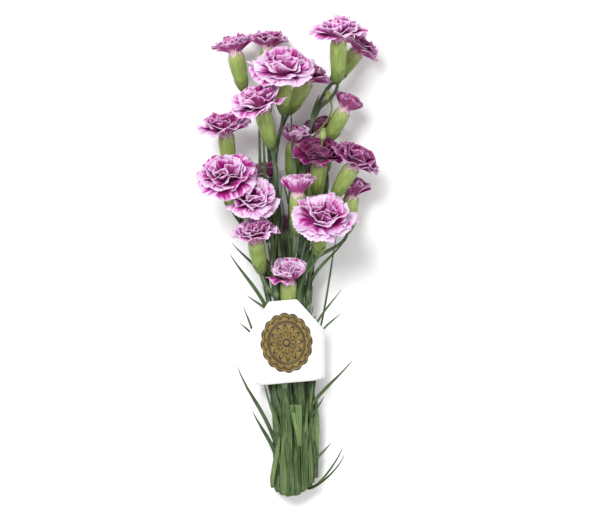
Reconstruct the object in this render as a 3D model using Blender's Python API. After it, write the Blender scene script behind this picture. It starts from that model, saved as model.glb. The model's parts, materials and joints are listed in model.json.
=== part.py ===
"""A bunch of cut spray carnations, lying on its side in a card band.

The bunch lies along Y on a surface at Z = 0, its cut stem ends at the back of Y and its blooms at the
front. Each spray is one green piece: main stem, side stems, calyxes and leaves. The petals of each
bloom are one more piece, seated in the mouth of its calyx. An elastic ring ties the stems inside the
card band, which carries a round gold seal. The layout below is in millimetres, in a frame with its zero
on the surface under the middle of the cut ends.
"""

import math
from typing import NamedTuple

import bmesh
import bpy
import numpy as np
from mathutils import Matrix, Vector, kdtree

MM = 0.001

# Clearances
SEAT_GAP = 0.3
STEM_CLEARANCE = 0.37
PETAL_CLEARANCE = 0.85

# The bunch's middle line rises from the cut ends to the blooms
AXIS_START = 13.0
AXIS_RISE = 0.10

# Stems
STEM_RADIUS = 2.9
STEM_TOP_RADIUS = 2.0
SIDE_STEM_RADIUS = 1.5
STEM_STEP = 4.0
RING_EVERY = 4
STEM_SIDES = 5
SIDE_STEM_SIDES = 5
WAIST_Y = 192.0
WAIST_SPREAD = (0.33, 0.26)
FOOT_NARROWING = 0.72
FOOT_SHIFT = 6.0
FOOT_ROUNDING = 0.045
HEAD_MIDDLE_Z = 55.0
STEM_END_STEP = 1.1
STEM_END_STEPS = 4
SIDE_STEM_DROP = 34.0
LEAST_STEPS = 4

# Settling: how readily each kind of piece gives way, and how fast all of it happens
SETTLE_ROUNDS = 380
SETTLE_RENEW = 19
NEAR_MARGIN = 5.0
STEM_GIVE = 0.5
SIDE_STEM_GIVE = 0.7
LEAF_GIVE = 1.0
HEAD_GIVE = 0.35
CROWD_DAMPING = 0.55
SHAPE_MEMORY = 0.004
HEAD_MEMORY = 4
HEAD_EASE = 0.5
EVENING = 0.5
EVENING_ROUNDS = 2
END_EASE = 0.3
FLOOR_MARGIN = 0.1
HEAD_FLOOR = 7.6
BAND_MARGINS = (4.0, 3.0)
TIE_MARGIN = 5.0
OUTSIDE_MARGIN = 1.0

# The balls that stand for a calyx: height under the mouth as a share of its length, and radius
CALYX_BALLS = ((0.85, 4.3), (0.65, 6.9), (0.45, 7.2), (0.25, 7.5), (0.05, 7.8))
# The balls that stand for the petals: height as a share of the bloom's, and radius as a share of its reach
PETAL_BALLS = ((0.35, 0.42), (1.0, 0.58))

# Calyx: height as a share of its length, and radius
CALYX_PROFILE = ((0.0, 2.0), (0.36, 6.8))
CALYX_MOUTH = 7.7
CALYX_SIDES = 10
CALYX_TOOTH = 2.6
CUP_DEPTH = 5.0
CUP_RADIUS = 5.0

# Petals. A ring of claws: its height as a share of the bloom's, a share of its reach and a least radius
CLAW_SHOULDER = (0.42, 0.17, 2.2)
CLAW_TOP = (0.58, 0.08, 1.0)
CLAW_SIDES = 5
OUTER_GRID = (3, 3)
INNER_GRID = (2, 3)
FULL_REACH = 25.5
HALF_REACH = 20.0
PETAL_THICKNESS = 1.2
PETAL_ROOT = (3.0, 3.4)
INNER_ROOT = (1.4, 5.0)
PETAL_START_ANGLE = 24.0
PETAL_CLAW_SHARE = 0.60
PETAL_CLAW_END = 0.30
OUTER_OPENING = 104.0
INNER_OPENING = 46.0
PETAL_FLOOR = 0.8
PETAL_COVER = 0.94
CLAW_NECK = 0.8
OUTER_COUNT = 5
OUTER_SIZE = (1.0, 1.05)
INNER_SIZE = (0.86, 0.84)
INNER_SHIFT = 0.6
CLAW_WIDTH = 0.22
FLARE = (0.08, 0.68)
EDGE_ROUNDING = 0.20
CURL_START = 0.5
FINE_STEPS = 33
SEED = 40
TURN_SPREAD = 0.05
OPENING_SPREAD = 12.0
LENGTH_RANGE = (0.94, 1.04)
WIDTH_RANGE = (0.95, 1.1)
CURL_RANGE = (-6.0, 26.0)
WAVE_RANGE = (0.06, 0.11)
CUP_RANGE = (-0.12, 0.16)
FIT_SIZES = (1.0, 0.86, 0.72, 0.58)
FIT_OPENINGS = (1.0, 0.88, 0.76, 0.62, 0.48, 0.34, 0.2)

# Leaves
LEAF_THICKNESS = 1.0
LEAF_STEP = 4.0
LEAF_SEGMENTS = 4
LEAF_GUARD = 2.7
LEAF_KEEL = 0.7
LEAF_FACES_UP = 2.0
LEAF_ROOT_WIDTH = 0.72
LEAF_SWELL = 1.2
LEAF_TIP = (1.9, 0.75)
LEAF_TIP_BEND = 0.35

# Card band: a flattened sleeve whose front panel has its upper corners cut off
BAND_CENTRE = (-0.7, 145.0)
BAND_TURN = 5.0
BAND_HALF_WIDTH = 36.6
BAND_HALF_DEPTH = 16.4
BAND_WALL = 0.8
BAND_SIDE_HEIGHT = 45.0
BAND_FRONT_HEIGHT = 78.0
BAND_TOP_EDGE = 24.0
BAND_ARC_STEPS = 6
BAND_TAPER = 0.09

# Elastic tie
TIE_HALF_WIDTH = 25.3
TIE_HALF_DEPTH = 14.6
TIE_WALL = 1.4
TIE_HEIGHT = 5.0
TIE_PULL = 0.012
TIE_PULL_REACH = 16.0

# Seal
SEAL_RADII = (24.5, 28.5)
SEAL_SCALLOPS = 16
SEAL_SCALLOP_DEPTH = 1.6
SEAL_POINTS_EACH = 2
SEAL_THICKNESS = 0.8
SEAL_LIFT = 1.0


class Bloom(NamedTuple):
    """One bloom: its spray, the calyx's mouth, the way it faces, its reach, its calyx and how open it is."""

    name: str
    spray: str
    mouth: tuple
    lean: tuple
    reach: float
    calyx: float
    openness: float


BLOOMS = (
    Bloom("a", "back_left", (-48, 411, 44), (-0.22, 0.96, 0.05), 19, 33, 0.66),
    Bloom("b", "back_left", (-18, 418, 17), (0.02, 0.99, 0.04), 19, 32, 0.72),
    Bloom("c", "right", (48, 422, 76), (0.02, 0.96, 0.26), 27, 38, 0.92),
    Bloom("d", "front_centre", (-3, 387, 88), (0.02, 0.88, 0.48), 31, 35, 1.00),
    Bloom("e", "front_centre", (17, 386, 42), (0.48, 0.86, 0.12), 21, 33, 0.80),
    Bloom("f", "right", (64, 414, 32), (0.62, 0.78, -0.04), 20, 35, 0.90),
    Bloom("g", "front_left", (-22, 356, 92), (-0.22, 0.90, 0.36), 28, 36, 0.95),
    Bloom("h", "left", (-57, 335, 48), (-0.10, 0.94, 0.30), 25, 33, 0.86),
    Bloom("i", "right", (52, 358, 44), (0.45, 0.88, 0.05), 15, 30, 0.50),
    Bloom("j", "back_right", (31, 335, 17), (-0.18, 0.97, 0.06), 20, 32, 0.80),
    Bloom("k", "centre", (9, 328, 36), (0.10, 0.96, 0.20), 18, 32, 0.70),
    Bloom("l", "right_front", (30, 309, 54), (0.06, 0.90, 0.42), 25, 33, 0.92),
    Bloom("m", "right_low", (60, 305, 62), (0.50, 0.82, 0.28), 24, 32, 0.85),
    Bloom("n", "left", (-55, 291, 74), (-0.12, 0.68, 0.72), 28, 34, 1.00),
    Bloom("o", "back_left", (-22, 292, 24), (0.00, 0.98, 0.14), 19, 32, 0.75),
    Bloom("p", "left_low", (-33, 269, 70), (0.02, 0.70, 0.71), 26, 33, 1.00),
    Bloom("q", "back_right", (17, 294, 19), (0.06, 0.98, 0.06), 18, 32, 0.70),
    Bloom("r", "centre", (10, 278, 80), (0.00, 0.98, 0.14), 15, 35, 0.42),
    Bloom("s", "right_low", (60, 277, 34), (0.10, 0.97, 0.20), 18, 32, 0.62),
    Bloom("t", "right_front", (33, 252, 88), (0.12, 0.72, 0.68), 30, 38, 1.00),
    Bloom("u", "left_low", (-29, 238, 72), (-0.16, 0.90, 0.40), 23, 32, 0.85),
    Bloom("v", "front_centre", (3, 199, 46), (0.02, 0.93, 0.36), 22, 30, 0.80),
    Bloom("w", "low", (-2, 243, 13), (0.00, 0.98, 0.10), 14, 28, 0.45),
)


class Leaf(NamedTuple):
    """One leaf: its spray, the height where it starts, its tip, and whether it passes outside the band."""

    spray: str
    root: float
    tip: tuple
    outside: bool = False
    half_width: float = 2.8


# Leaves that stand clear of the bunch, and so are placed one by one
FREE_LEAVES = (
    Leaf("left", 34, (-42, 121, 34), True, 2.8),
    Leaf("left", 20, (-32, 78, 38), False, 2.8),
    Leaf("left_low", 24, (-29, 102, 42), False, 3.0),
    Leaf("front_centre", 46, (8, 86, 42), False, 3.6),
    Leaf("right", 52, (37, 92, 40), False, 2.2),
    Leaf("right_low", 18, (39, 48, 32), False, 2.0),
    Leaf("right_low", 10, (50, 43, 18), False, 2.0),
    Leaf("right", 8, (56, 37, 28), False, 2.4),
    Leaf("right", 62, (64, 127, 36), True, 2.6),
    Leaf("left", 158, (-55, 226, 54), False, 2.6),
    Leaf("left", 190, (-52, 236, 34), False, 2.0),
    Leaf("left_low", 156, (-39, 186, 42), False, 2.2),
    Leaf("right_low", 190, (54, 239, 46), False, 2.4),
    Leaf("right", 158, (52, 189, 48), False, 2.3),
    Leaf("right_low", 152, (49, 169, 32), False, 2.3),
    Leaf("right_front", 176, (22, 226, 62), False, 2.3),
)
# Leaves that lie along the stems: heights of the leaf joints, leaf length and how far the tip stands out
JOINTS_LOW = (22.0, 62.0)
JOINTS_HIGH = (178.0, 226.0)
LOW_LEAF_LENGTH = 78.0
HIGH_LEAF_LENGTH = 52.0
LOW_LEAF_SPREAD = 12.0
HIGH_LEAF_SPREAD = 7.0
JOINT_STAGGER = 3.0
LEAF_REACHES = (0.85, 0.95, 1.05, 1.15)
LEAF_FAN = 0.9
CROWDED_CORE = 9.0


def unit(vector):
    """The vector with length one."""
    vector = np.asarray(vector, float)
    return vector / np.linalg.norm(vector)


def axis_z(y):
    """Height of the bunch's middle line at that distance from the cut ends."""
    return AXIS_START + AXIS_RISE * y


def smooth(t):
    """Zero to one with level ends."""
    t = np.clip(t, 0.0, 1.0)
    return t * t * (3 - 2 * t)


def hermite(start, start_way, end, end_way, step):
    """Points about a step apart on the smooth curve between two points, with a pull along each end's way."""
    start, end = np.asarray(start, float), np.asarray(end, float)
    span = np.linalg.norm(end - start)
    count = max(LEAST_STEPS, round(span / step))
    t = np.linspace(0, 1, count + 1)[:, None]
    pull_a, pull_b = unit(start_way) * span, unit(end_way) * span
    return (
        (2 * t**3 - 3 * t**2 + 1) * start
        + (t**3 - 2 * t**2 + t) * pull_a
        + (3 * t**2 - 2 * t**3) * end
        + (t**3 - t**2) * pull_b
    )


def band_frame():
    """The band's place: local X across the front panel, Y up the bunch and Z out of the panel."""
    x, y = BAND_CENTRE
    pitch = math.atan(AXIS_RISE)
    turn = Matrix.Rotation(math.radians(BAND_TURN), 4, "Z")
    return Matrix.Translation((x, y, axis_z(y))) @ turn @ Matrix.Rotation(pitch, 4, "X")


class Rope:
    """A stem or leaf as points along its middle: it keeps its drawn shape and gives way smoothly."""

    def __init__(self, points, guard, spray, give, root=None, outside=False):
        self.drawn = np.asarray(points, float)
        self.guard = guard
        self.spray = spray
        self.give = give
        self.root = root
        self.outside = outside
        self.moved = np.zeros_like(self.drawn)
        self.head = None
        self.segments = round((len(self.drawn) - 1) / RING_EVERY)

    @property
    def points(self):
        """Where the rope lies now."""
        return self.drawn + self.moved

    def route(self):
        """The few points that its tube or blade runs through."""
        last = len(self.drawn) - 1
        return self.points[[round(last * k / self.segments) for k in range(self.segments + 1)]]


class Head:
    """A bloom with its calyx as balls on its axis, which move together."""

    def __init__(self, bloom):
        self.bloom = bloom
        self.lean = unit(bloom.lean)
        self.drawn = np.array(bloom.mouth, float)
        self.moved = np.zeros(3)
        heights = [-share * bloom.calyx for share, _ in CALYX_BALLS]
        heights += [share * bloom_height(bloom) for share, _ in PETAL_BALLS]
        radii = [radius for _, radius in CALYX_BALLS]
        radii += [share * bloom.reach for _, share in PETAL_BALLS]
        self.offsets = np.array(heights)[:, None] * self.lean
        self.guards = np.array(radii)
        self.is_petal = np.array([False] * len(CALYX_BALLS) + [True] * len(PETAL_BALLS))

    @property
    def mouth(self):
        """The middle of the calyx's mouth."""
        return self.drawn + self.moved

    @property
    def base(self):
        """The foot of the calyx, on its stem."""
        return self.mouth - self.lean * self.bloom.calyx


def spray_names():
    """The sprays, in the order in which the blooms name them."""
    return list(dict.fromkeys(bloom.spray for bloom in BLOOMS))


def draw_main_stem(spray, heads, index):
    """The main stem's route, from its cut end through the waist to its highest bloom."""
    x = np.mean([head.drawn[0] for head in heads])
    z = np.mean([head.drawn[2] for head in heads]) - HEAD_MIDDLE_Z
    across, deep = WAIST_SPREAD
    waist = np.array([x * across, WAIST_Y, axis_z(WAIST_Y) + z * deep])
    foot_x = waist[0] * FOOT_NARROWING
    foot_y = FOOT_ROUNDING * foot_x**2 + STEM_END_STEP * (index % STEM_END_STEPS)
    foot = np.array([foot_x + FOOT_SHIFT, foot_y, axis_z(foot_y) + z * deep])
    top = max(heads, key=lambda head: head.base[1])
    along = (0, 1, AXIS_RISE)
    lower = hermite(foot, along, waist, waist - foot, STEM_STEP)
    upper = hermite(waist, waist - foot, top.base, top.lean, STEM_STEP)
    rope = Rope(np.vstack([lower, upper[1:]]), STEM_RADIUS + STEM_CLEARANCE, spray, STEM_GIVE)
    rope.head = top
    return rope


def draw_side_stem(spray, main, head):
    """A side stem's route, from the main stem to a lower bloom."""
    fork_y = min(head.base[1] - SIDE_STEM_DROP, main.drawn[-6, 1])
    at = int(np.abs(main.drawn[:, 1] - fork_y).argmin())
    way = main.drawn[at + 1] - main.drawn[at - 1]
    route = hermite(main.drawn[at], way, head.base, head.lean, STEM_STEP)
    rope = Rope(route, SIDE_STEM_RADIUS + STEM_CLEARANCE, spray, SIDE_STEM_GIVE, (main, at))
    rope.head = head
    return rope


def draw_leaf(leaf, main):
    """A leaf's route: it starts up its stem and bends over to its tip."""
    at = int(np.abs(main.drawn[:, 1] - leaf.root).argmin())
    root, tip = main.drawn[at], np.array(leaf.tip, float)
    way = main.drawn[at + 1] - main.drawn[at - 1]
    route = hermite(root, way, tip, tip - root - LEAF_TIP_BEND * way, LEAF_STEP)
    guard = max(LEAF_GUARD, leaf.half_width)
    rope = Rope(route, guard, leaf.spray, LEAF_GIVE, (main, at), leaf.outside)
    rope.half_width = leaf.half_width
    rope.segments = LEAF_SEGMENTS
    return rope


def close_leaves(spray, main, heads, index):
    """The leaves that lie along one stem, a pair at each joint, pointing out of the bunch."""
    waist = main.drawn[int(np.abs(main.drawn[:, 1] - WAIST_Y).argmin())]
    from_middle = (waist[0], waist[2] - axis_z(WAIST_Y))
    out = math.atan2(from_middle[1], from_middle[0])
    leaves = []
    for joints, length, spread in (
        (JOINTS_LOW, LOW_LEAF_LENGTH, LOW_LEAF_SPREAD),
        (JOINTS_HIGH, HIGH_LEAF_LENGTH, HIGH_LEAF_SPREAD),
    ):
        for order, joint in enumerate(joints):
            height = joint + JOINT_STAGGER * (index % 4)
            crowded = math.hypot(*from_middle) < CROWDED_CORE
            if crowded or height > main.drawn[-8, 1]:
                continue
            side = 1 if (order + index) % 2 else -1
            angle = out + side * LEAF_FAN
            at = int(np.abs(main.drawn[:, 1] - height).argmin())
            reach = length * LEAF_REACHES[(order * 5 + index * 3) % len(LEAF_REACHES)]
            end = min(at + round(reach / STEM_STEP), len(main.drawn) - 1)
            offset = np.array([math.cos(angle), 0, math.sin(angle)]) * spread
            tip = main.drawn[end] + offset
            leaves.append(draw_leaf(Leaf(spray, height, tuple(tip)), main))
    return leaves


class Bunch:
    """Every stem, leaf and bloom of the bunch, first drawn and then settled clear of each other."""

    def __init__(self):
        self.heads = [Head(bloom) for bloom in BLOOMS]
        self.mains, self.sides, self.leaves = {}, [], []
        for index, spray in enumerate(spray_names()):
            heads = [head for head in self.heads if head.bloom.spray == spray]
            main = draw_main_stem(spray, heads, index)
            self.mains[spray] = main
            others = [head for head in heads if head is not main.head]
            self.sides += [draw_side_stem(spray, main, head) for head in others]
            self.leaves += close_leaves(spray, main, heads, index)
        self.leaves += [draw_leaf(leaf, self.mains[leaf.spray]) for leaf in FREE_LEAVES]
        self.ropes = [*self.mains.values(), *self.sides, *self.leaves]

    def gather(self):
        """All the balls as arrays: places, guards, how far each gives, its spray and its bloom."""
        names = spray_names()
        where, guard, give, spray, head = [], [], [], [], []
        for rope in self.ropes:
            count = len(rope.drawn)
            where.append(rope.points)
            guard.append(np.full(count, rope.guard))
            give.append(np.full(count, rope.give))
            spray.append(np.full(count, names.index(rope.spray)))
            head.append(np.full(count, -1))
        for number, one in enumerate(self.heads):
            count = len(one.guards)
            where.append(one.mouth + one.offsets)
            guard.append(one.guards + STEM_CLEARANCE)
            give.append(np.full(count, HEAD_GIVE))
            own = names.index(one.bloom.spray)
            spray.append(np.where(one.is_petal, -2 - number, own))
            head.append(np.full(count, number))
        return [np.concatenate(part) for part in (where, guard, give, spray, head)]

    def near_pairs(self, where, guard, spray, head):
        """Pairs of balls near enough to meet soon, leaving out those that are one piece."""
        gap = np.linalg.norm(where[:, None] - where[None], axis=2)
        near = gap < guard[:, None] + guard[None] + NEAR_MARGIN
        near &= spray[:, None] != spray[None]
        near &= (head[:, None] != head[None]) | (head[:, None] < 0)
        return np.nonzero(np.triu(near, 1))

    def settle(self):
        """Moves stems, leaves and blooms apart until they are clear of each other."""
        for step in range(SETTLE_ROUNDS):
            progress = step / SETTLE_ROUNDS
            where, guard, give, spray, head = self.gather()
            if step % SETTLE_RENEW == 0:
                pairs = self.near_pairs(where, guard, spray, head)
            push = self.apart(where, guard, give, pairs)
            self.share_out(push, progress)
            self.draw_together(1 - progress)
            self.keep_bounds()

    def apart(self, where, guard, give, pairs):
        """The push on each ball from those that it is too near to."""
        a, b = pairs
        between = where[a] - where[b]
        gap = np.maximum(np.linalg.norm(between, axis=1), 0.01)
        short = guard[a] + guard[b] - gap
        hit = short > 0
        a, b, between, gap, short = a[hit], b[hit], between[hit], gap[hit], short[hit]
        way = between / gap[:, None] * short[:, None]
        share = (give[a] / (give[a] + give[b]))[:, None]
        push = np.zeros_like(where)
        hits = np.zeros(len(where))
        for index, force in ((a, way * share), (b, -way * (1 - share))):
            for axis in range(3):
                push[:, axis] += np.bincount(index, force[:, axis], len(where))
            hits += np.bincount(index, minlength=len(where))
        return push / np.maximum(1.0, hits * CROWD_DAMPING)[:, None]

    def share_out(self, push, progress):
        """Passes each push on along its rope, or to the whole of its bloom."""
        start = 0
        memory = SHAPE_MEMORY * (1 - progress)
        for rope in self.ropes:
            count = len(rope.drawn)
            rope.moved += push[start : start + count]
            start += count
            self.ease(rope, memory)
        for head in self.heads:
            count = len(head.guards)
            head.moved += push[start : start + count].sum(axis=0) * HEAD_EASE
            head.moved *= 1 - HEAD_MEMORY * memory
            start += count

    def ease(self, rope, memory):
        """Evens out a rope's movement and ties its ends to what carries them."""
        root = np.zeros(3)
        if rope.root:
            carrier, at = rope.root
            root = carrier.moved[at]
            rope.moved[0] = root
        if rope.head:
            rope.moved[-1] = rope.head.moved
            rope.moved[-2] = rope.head.moved
        for _ in range(EVENING_ROUNDS):
            even = (rope.moved[:-2] + rope.moved[2:]) / 2
            rope.moved[1:-1] += EVENING * (even - rope.moved[1:-1])
        if not rope.head:
            rope.moved[-1] += END_EASE * (rope.moved[-2] - rope.moved[-1])
        if not rope.root:
            rope.moved[0] += END_EASE * (rope.moved[1] - rope.moved[0])
            rope.moved[0, 1] = 0
        rope.moved += memory * (root - rope.moved)

    def draw_together(self, strength):
        """Draws the stems together where the tie holds them."""
        frame = np.array(band_frame())
        for rope in self.mains.values():
            local = (rope.points - frame[:3, 3]) @ frame[:3, :3]
            held = smooth(1 - np.abs(local[:, 1]) / TIE_PULL_REACH)
            local[:, 1] = 0
            rope.moved -= TIE_PULL * strength * held[:, None] * local @ frame[:3, :3].T

    def keep_bounds(self):
        """Keeps ropes off the surface and, where they pass the band and the tie, inside or outside them."""
        frame = np.array(band_frame())
        for rope in self.ropes:
            where = rope.points
            low = rope.guard - STEM_CLEARANCE + FLOOR_MARGIN - where[:, 2]
            rope.moved[:, 2] += np.maximum(low, 0)
            local = (rope.points - frame[:3, 3]) @ frame[:3, :3]
            rope.moved += self.back_inside(rope, local) @ frame[:3, :3].T
        for head in self.heads:
            calyx_low = head.mouth[2] + head.offsets[1 : len(CALYX_BALLS), 2].min()
            lowest = HEAD_FLOOR - calyx_low
            head.moved[2] += max(lowest, 0)
            local = (head.mouth + head.offsets - frame[:3, 3]) @ frame[:3, :3]
            edge = BAND_FRONT_HEIGHT / 2 + 0.6 * head.guards
            inside = (local[:, 1] < edge) & ~head.is_petal
            room = BAND_HALF_DEPTH - BAND_WALL - STEM_CLEARANCE - head.guards
            over = np.where(inside, local[:, 2] - room, 0).max()
            head.moved -= frame[:3, 2] * max(over, 0)

    def back_inside(self, rope, local):
        """The way back to the allowed side of the band's wall, in the band's frame."""
        back = np.zeros_like(local)
        half_height = BAND_FRONT_HEIGHT / 2
        below, above = BAND_MARGINS
        at_band = (local[:, 1] > -half_height - below) & (local[:, 1] < half_height + above)
        if rope.outside:
            edge = BAND_HALF_WIDTH + rope.guard + OUTSIDE_MARGIN
            short = edge - np.abs(local[:, 0])
            back[:, 0] = np.where(at_band, np.maximum(short, 0) * np.sign(local[:, 0]), 0)
            return back
        tie = np.abs(local[:, 1]) < TIE_HEIGHT / 2 + TIE_MARGIN
        narrow = BAND_HALF_WIDTH * (1 - BAND_TAPER) - BAND_WALL
        width = np.where(tie, TIE_HALF_WIDTH - TIE_WALL, narrow)
        width = width - rope.guard
        depth = np.where(tie, TIE_HALF_DEPTH - TIE_WALL, BAND_HALF_DEPTH - BAND_WALL)
        depth = depth - rope.guard
        flat = np.clip(np.abs(local[:, 0]) - (width - depth), 0, None)
        reach = np.hypot(flat, local[:, 2])
        shrink = np.where(reach > depth, depth / np.maximum(reach, 1e-6), 1.0)
        new_flat = flat * shrink
        straight = np.minimum(np.abs(local[:, 0]), width - depth)
        new_x = (straight + new_flat) * np.sign(local[:, 0])
        back[:, 0] = np.where(at_band & (shrink < 1), new_x - local[:, 0], 0)
        back[:, 2] = np.where(at_band, local[:, 2] * (shrink - 1), 0)
        return back


def band_top(x):
    """Height of the band's upper edge above its middle, across the front panel."""
    shoulder = BAND_SIDE_HEIGHT - BAND_FRONT_HEIGHT / 2
    edge = BAND_TOP_EDGE / 2
    share = np.clip((abs(x) - edge) / (BAND_HALF_WIDTH - edge), 0, 1)
    return BAND_FRONT_HEIGHT / 2 + (shoulder - BAND_FRONT_HEIGHT / 2) * share


class Petal(NamedTuple):
    """One petal: its turn round the bloom, how far it opens, its length, width, curl, wave and its cup.

    The root is its start's distance from the bloom's axis and height above the calyx's mouth. The grid is
    how many rows and columns of faces it has, and the share is the part of a full turn that it may fill.
    """

    turn: float
    opening: float
    length: float
    width: float
    curl: float
    wave: float
    cup: float
    root: tuple
    grid: tuple
    share: float


def petal_bend(opening, u):
    """The angle between petal and bloom axis, in degrees: a rising claw that fans out at its end."""
    claw = PETAL_CLAW_SHARE * opening
    rising = PETAL_START_ANGLE + (claw - PETAL_START_ANGLE) * smooth(u / PETAL_CLAW_END)
    return rising + (opening - claw) * smooth((u - PETAL_CLAW_END) / (1 - PETAL_CLAW_END))


def petal_span(opening):
    """How far out and how far up a petal of length one reaches."""
    bend = np.radians(petal_bend(opening, np.linspace(0, 1, FINE_STEPS)))
    return np.sin(bend).mean(), np.cos(bend).mean()


def bloom_length(bloom):
    """The length of the bloom's outer petals, so that they reach as far out as the bloom does."""
    out, _ = petal_span(OUTER_OPENING * bloom.openness)
    return (bloom.reach - PETAL_ROOT[0]) / out


def bloom_height(bloom):
    """How high the bloom's outer petals stand above the calyx's mouth."""
    _, up = petal_span(OUTER_OPENING * bloom.openness)
    return PETAL_ROOT[1] + bloom_length(bloom) * up


def petal_surface(petal, u, v):
    """The petal's middle surface: u runs from claw to edge, v from side to side; +Z is the bloom's axis."""
    fine = np.linspace(0, 1, FINE_STEPS)
    bend = petal_bend(petal.opening, fine)
    bend = np.radians(bend + petal.curl * np.clip((fine - CURL_START) / (1 - CURL_START), 0, 1) ** 2)
    step = petal.length / (len(fine) - 1)
    radial = petal.root[0] + np.concatenate([[0], np.cumsum(np.sin(bend[1:]) * step)])
    height = petal.root[1] + np.concatenate([[0], np.cumsum(np.cos(bend[1:]) * step)])
    along = u * (1 - EDGE_ROUNDING * v * v)
    r, h = np.interp(along, fine, radial), np.interp(along, fine, height)
    tilt = np.interp(along, fine, bend)
    start, span = FLARE
    half = petal.width / 2 * (CLAW_WIDTH + (1 - CLAW_WIDTH) * smooth((along - start) / span))
    lift = petal.wave * along**2 * np.cos(2 * math.pi * v) + petal.cup * along * v * v * half
    r = r - np.cos(tilt) * lift
    h = h + np.sin(tilt) * lift
    across = v * half
    turn = petal.turn
    x = r * math.cos(turn) - across * math.sin(turn)
    y = r * math.sin(turn) + across * math.cos(turn)
    return np.stack([x, y, h], axis=-1)


def petals_of(bloom, number):
    """The bloom's petals before they are fitted: an outer ring that opens wide and an inner that stands."""
    draw = np.random.default_rng(SEED + number)
    inner = 1 + int(bloom.reach > HALF_REACH) + int(bloom.reach > FULL_REACH)
    rings = (
        (OUTER_COUNT, OUTER_OPENING, *OUTER_SIZE, 0.0, PETAL_ROOT, OUTER_GRID),
        (inner, INNER_OPENING, *INNER_SIZE, INNER_SHIFT, INNER_ROOT, INNER_GRID),
    )
    length = bloom_length(bloom)
    petals = []
    for count, opening, long, wide, shift, root, grid in rings:
        for place in range(count):
            off = shift + draw.uniform(-TURN_SPREAD, TURN_SPREAD)
            turn = 2 * math.pi * (place + off) / count + number
            petals.append(
                Petal(
                    turn,
                    opening * bloom.openness + draw.uniform(-OPENING_SPREAD, OPENING_SPREAD),
                    length * long * draw.uniform(*LENGTH_RANGE),
                    bloom.reach * wide * draw.uniform(*WIDTH_RANGE),
                    draw.uniform(*CURL_RANGE) * bloom.openness,
                    bloom.reach * draw.uniform(*WAVE_RANGE) * draw.choice([-1, 1]),
                    draw.uniform(*CUP_RANGE),
                    root,
                    grid,
                    2 * math.pi / max(count, 3),
                )
            )
    return petals


def bloom_frame(head):
    """The bloom's place: origin in the calyx's mouth, +Z the way that it faces."""
    turn = Vector(head.lean).to_track_quat("Z", "Y").to_matrix().to_4x4()
    return Matrix.Translation(head.mouth) @ turn


def to_world(frame, local):
    """Points of a frame as points of the layout."""
    frame = np.array(frame)
    return local @ frame[:3, :3].T + frame[:3, 3]


class Crowd:
    """Balls that petals have to stay clear of, apart from those of their own bloom."""

    def __init__(self):
        self.balls = []

    def add(self, places, guards, owner=None):
        """Adds the balls of one more piece."""
        self.balls += [(place, guard, owner) for place, guard in zip(places, guards)]

    def refresh(self):
        """Sorts the balls for the search."""
        self.widest = max(guard for _, guard, _ in self.balls)
        self.tree = kdtree.KDTree(len(self.balls))
        for index, ball in enumerate(self.balls):
            self.tree.insert(ball[0], index)
        self.tree.balance()

    def touches(self, places, guard, owner):
        """Whether any of these places is too near to a ball that isn't the owner's."""
        for place in places:
            for _, index, gap in self.tree.find_range(place, self.widest + guard):
                _, other_guard, other = self.balls[index]
                if gap < other_guard + guard and other != owner:
                    return True
        return False


def denser(points, parts=3):
    """A rope's points with more between them."""
    count = len(points)
    fine = np.linspace(0, count - 1, (count - 1) * parts + 1)
    return np.stack([np.interp(fine, np.arange(count), points[:, k]) for k in range(3)], axis=1)


def crowd_of(bunch):
    """Every stem, leaf, calyx and bundle of claws, as balls."""
    crowd = Crowd()
    for rope in bunch.ropes:
        fine = denser(rope.route(), 8)
        crowd.add(fine, np.full(len(fine), rope.guard - 0.2))
    for head in bunch.heads:
        shares = np.linspace(0.2, 0.9, 7)
        radii = np.interp(shares, *zip(*CALYX_PROFILE, (1.0, CALYX_MOUTH)))
        heights = (shares - 1) * head.bloom.calyx
        crowd.add(head.mouth + heights[:, None] * head.lean, radii + 0.2)
        share, of_reach, least = CLAW_SHOULDER
        heights = np.linspace(0, share, 5) * bloom_height(head.bloom)
        widest = least + of_reach * head.bloom.reach
        radii = np.linspace(CUP_RADIUS, widest, len(heights))
        crowd.add(head.mouth + heights[:, None] * head.lean, radii, head.bloom.name)
    return crowd


def spread_points(grid, parts=3):
    """Points spread over a blade's flat faces, all but those of its sunken root."""
    across = np.stack([denser(row, parts) for row in grid])
    along = np.stack([denser(column, parts) for column in across.transpose(1, 0, 2)])
    return along[:, 2:].reshape(-1, 3)


def petal_grid(petal, frame):
    """The petal's middle surface as a few rows of points, pressed flat where it meets the surface."""
    rows, columns = petal.grid
    u, v = np.meshgrid(np.linspace(0, 1, rows + 1), np.linspace(-1, 1, columns + 1), indexing="ij")
    grid = to_world(frame, petal_surface(petal, u, v))
    grid[1:, :, 2] = np.maximum(grid[1:, :, 2], PETAL_FLOOR)
    return grid


def fit_petal(petal, frame, crowd, owner):
    """The petal opened as far as its neighbours let it, shorter where it has to be, or None."""
    for size in FIT_SIZES:
        for close in FIT_OPENINGS:
            trial = petal._replace(
                opening=petal.opening * close,
                curl=petal.curl * close,
                length=petal.length * size,
                width=petal.width * (0.5 + 0.5 * size),
            )
            edge = math.hypot(*petal_surface(trial, 1.0, 0.0)[:2])
            trial = trial._replace(width=min(trial.width, PETAL_COVER * edge * trial.share))
            places = spread_points(petal_grid(trial, frame))
            if not crowd.touches(places, PETAL_CLEARANCE, owner):
                return trial, places
    return None


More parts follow.
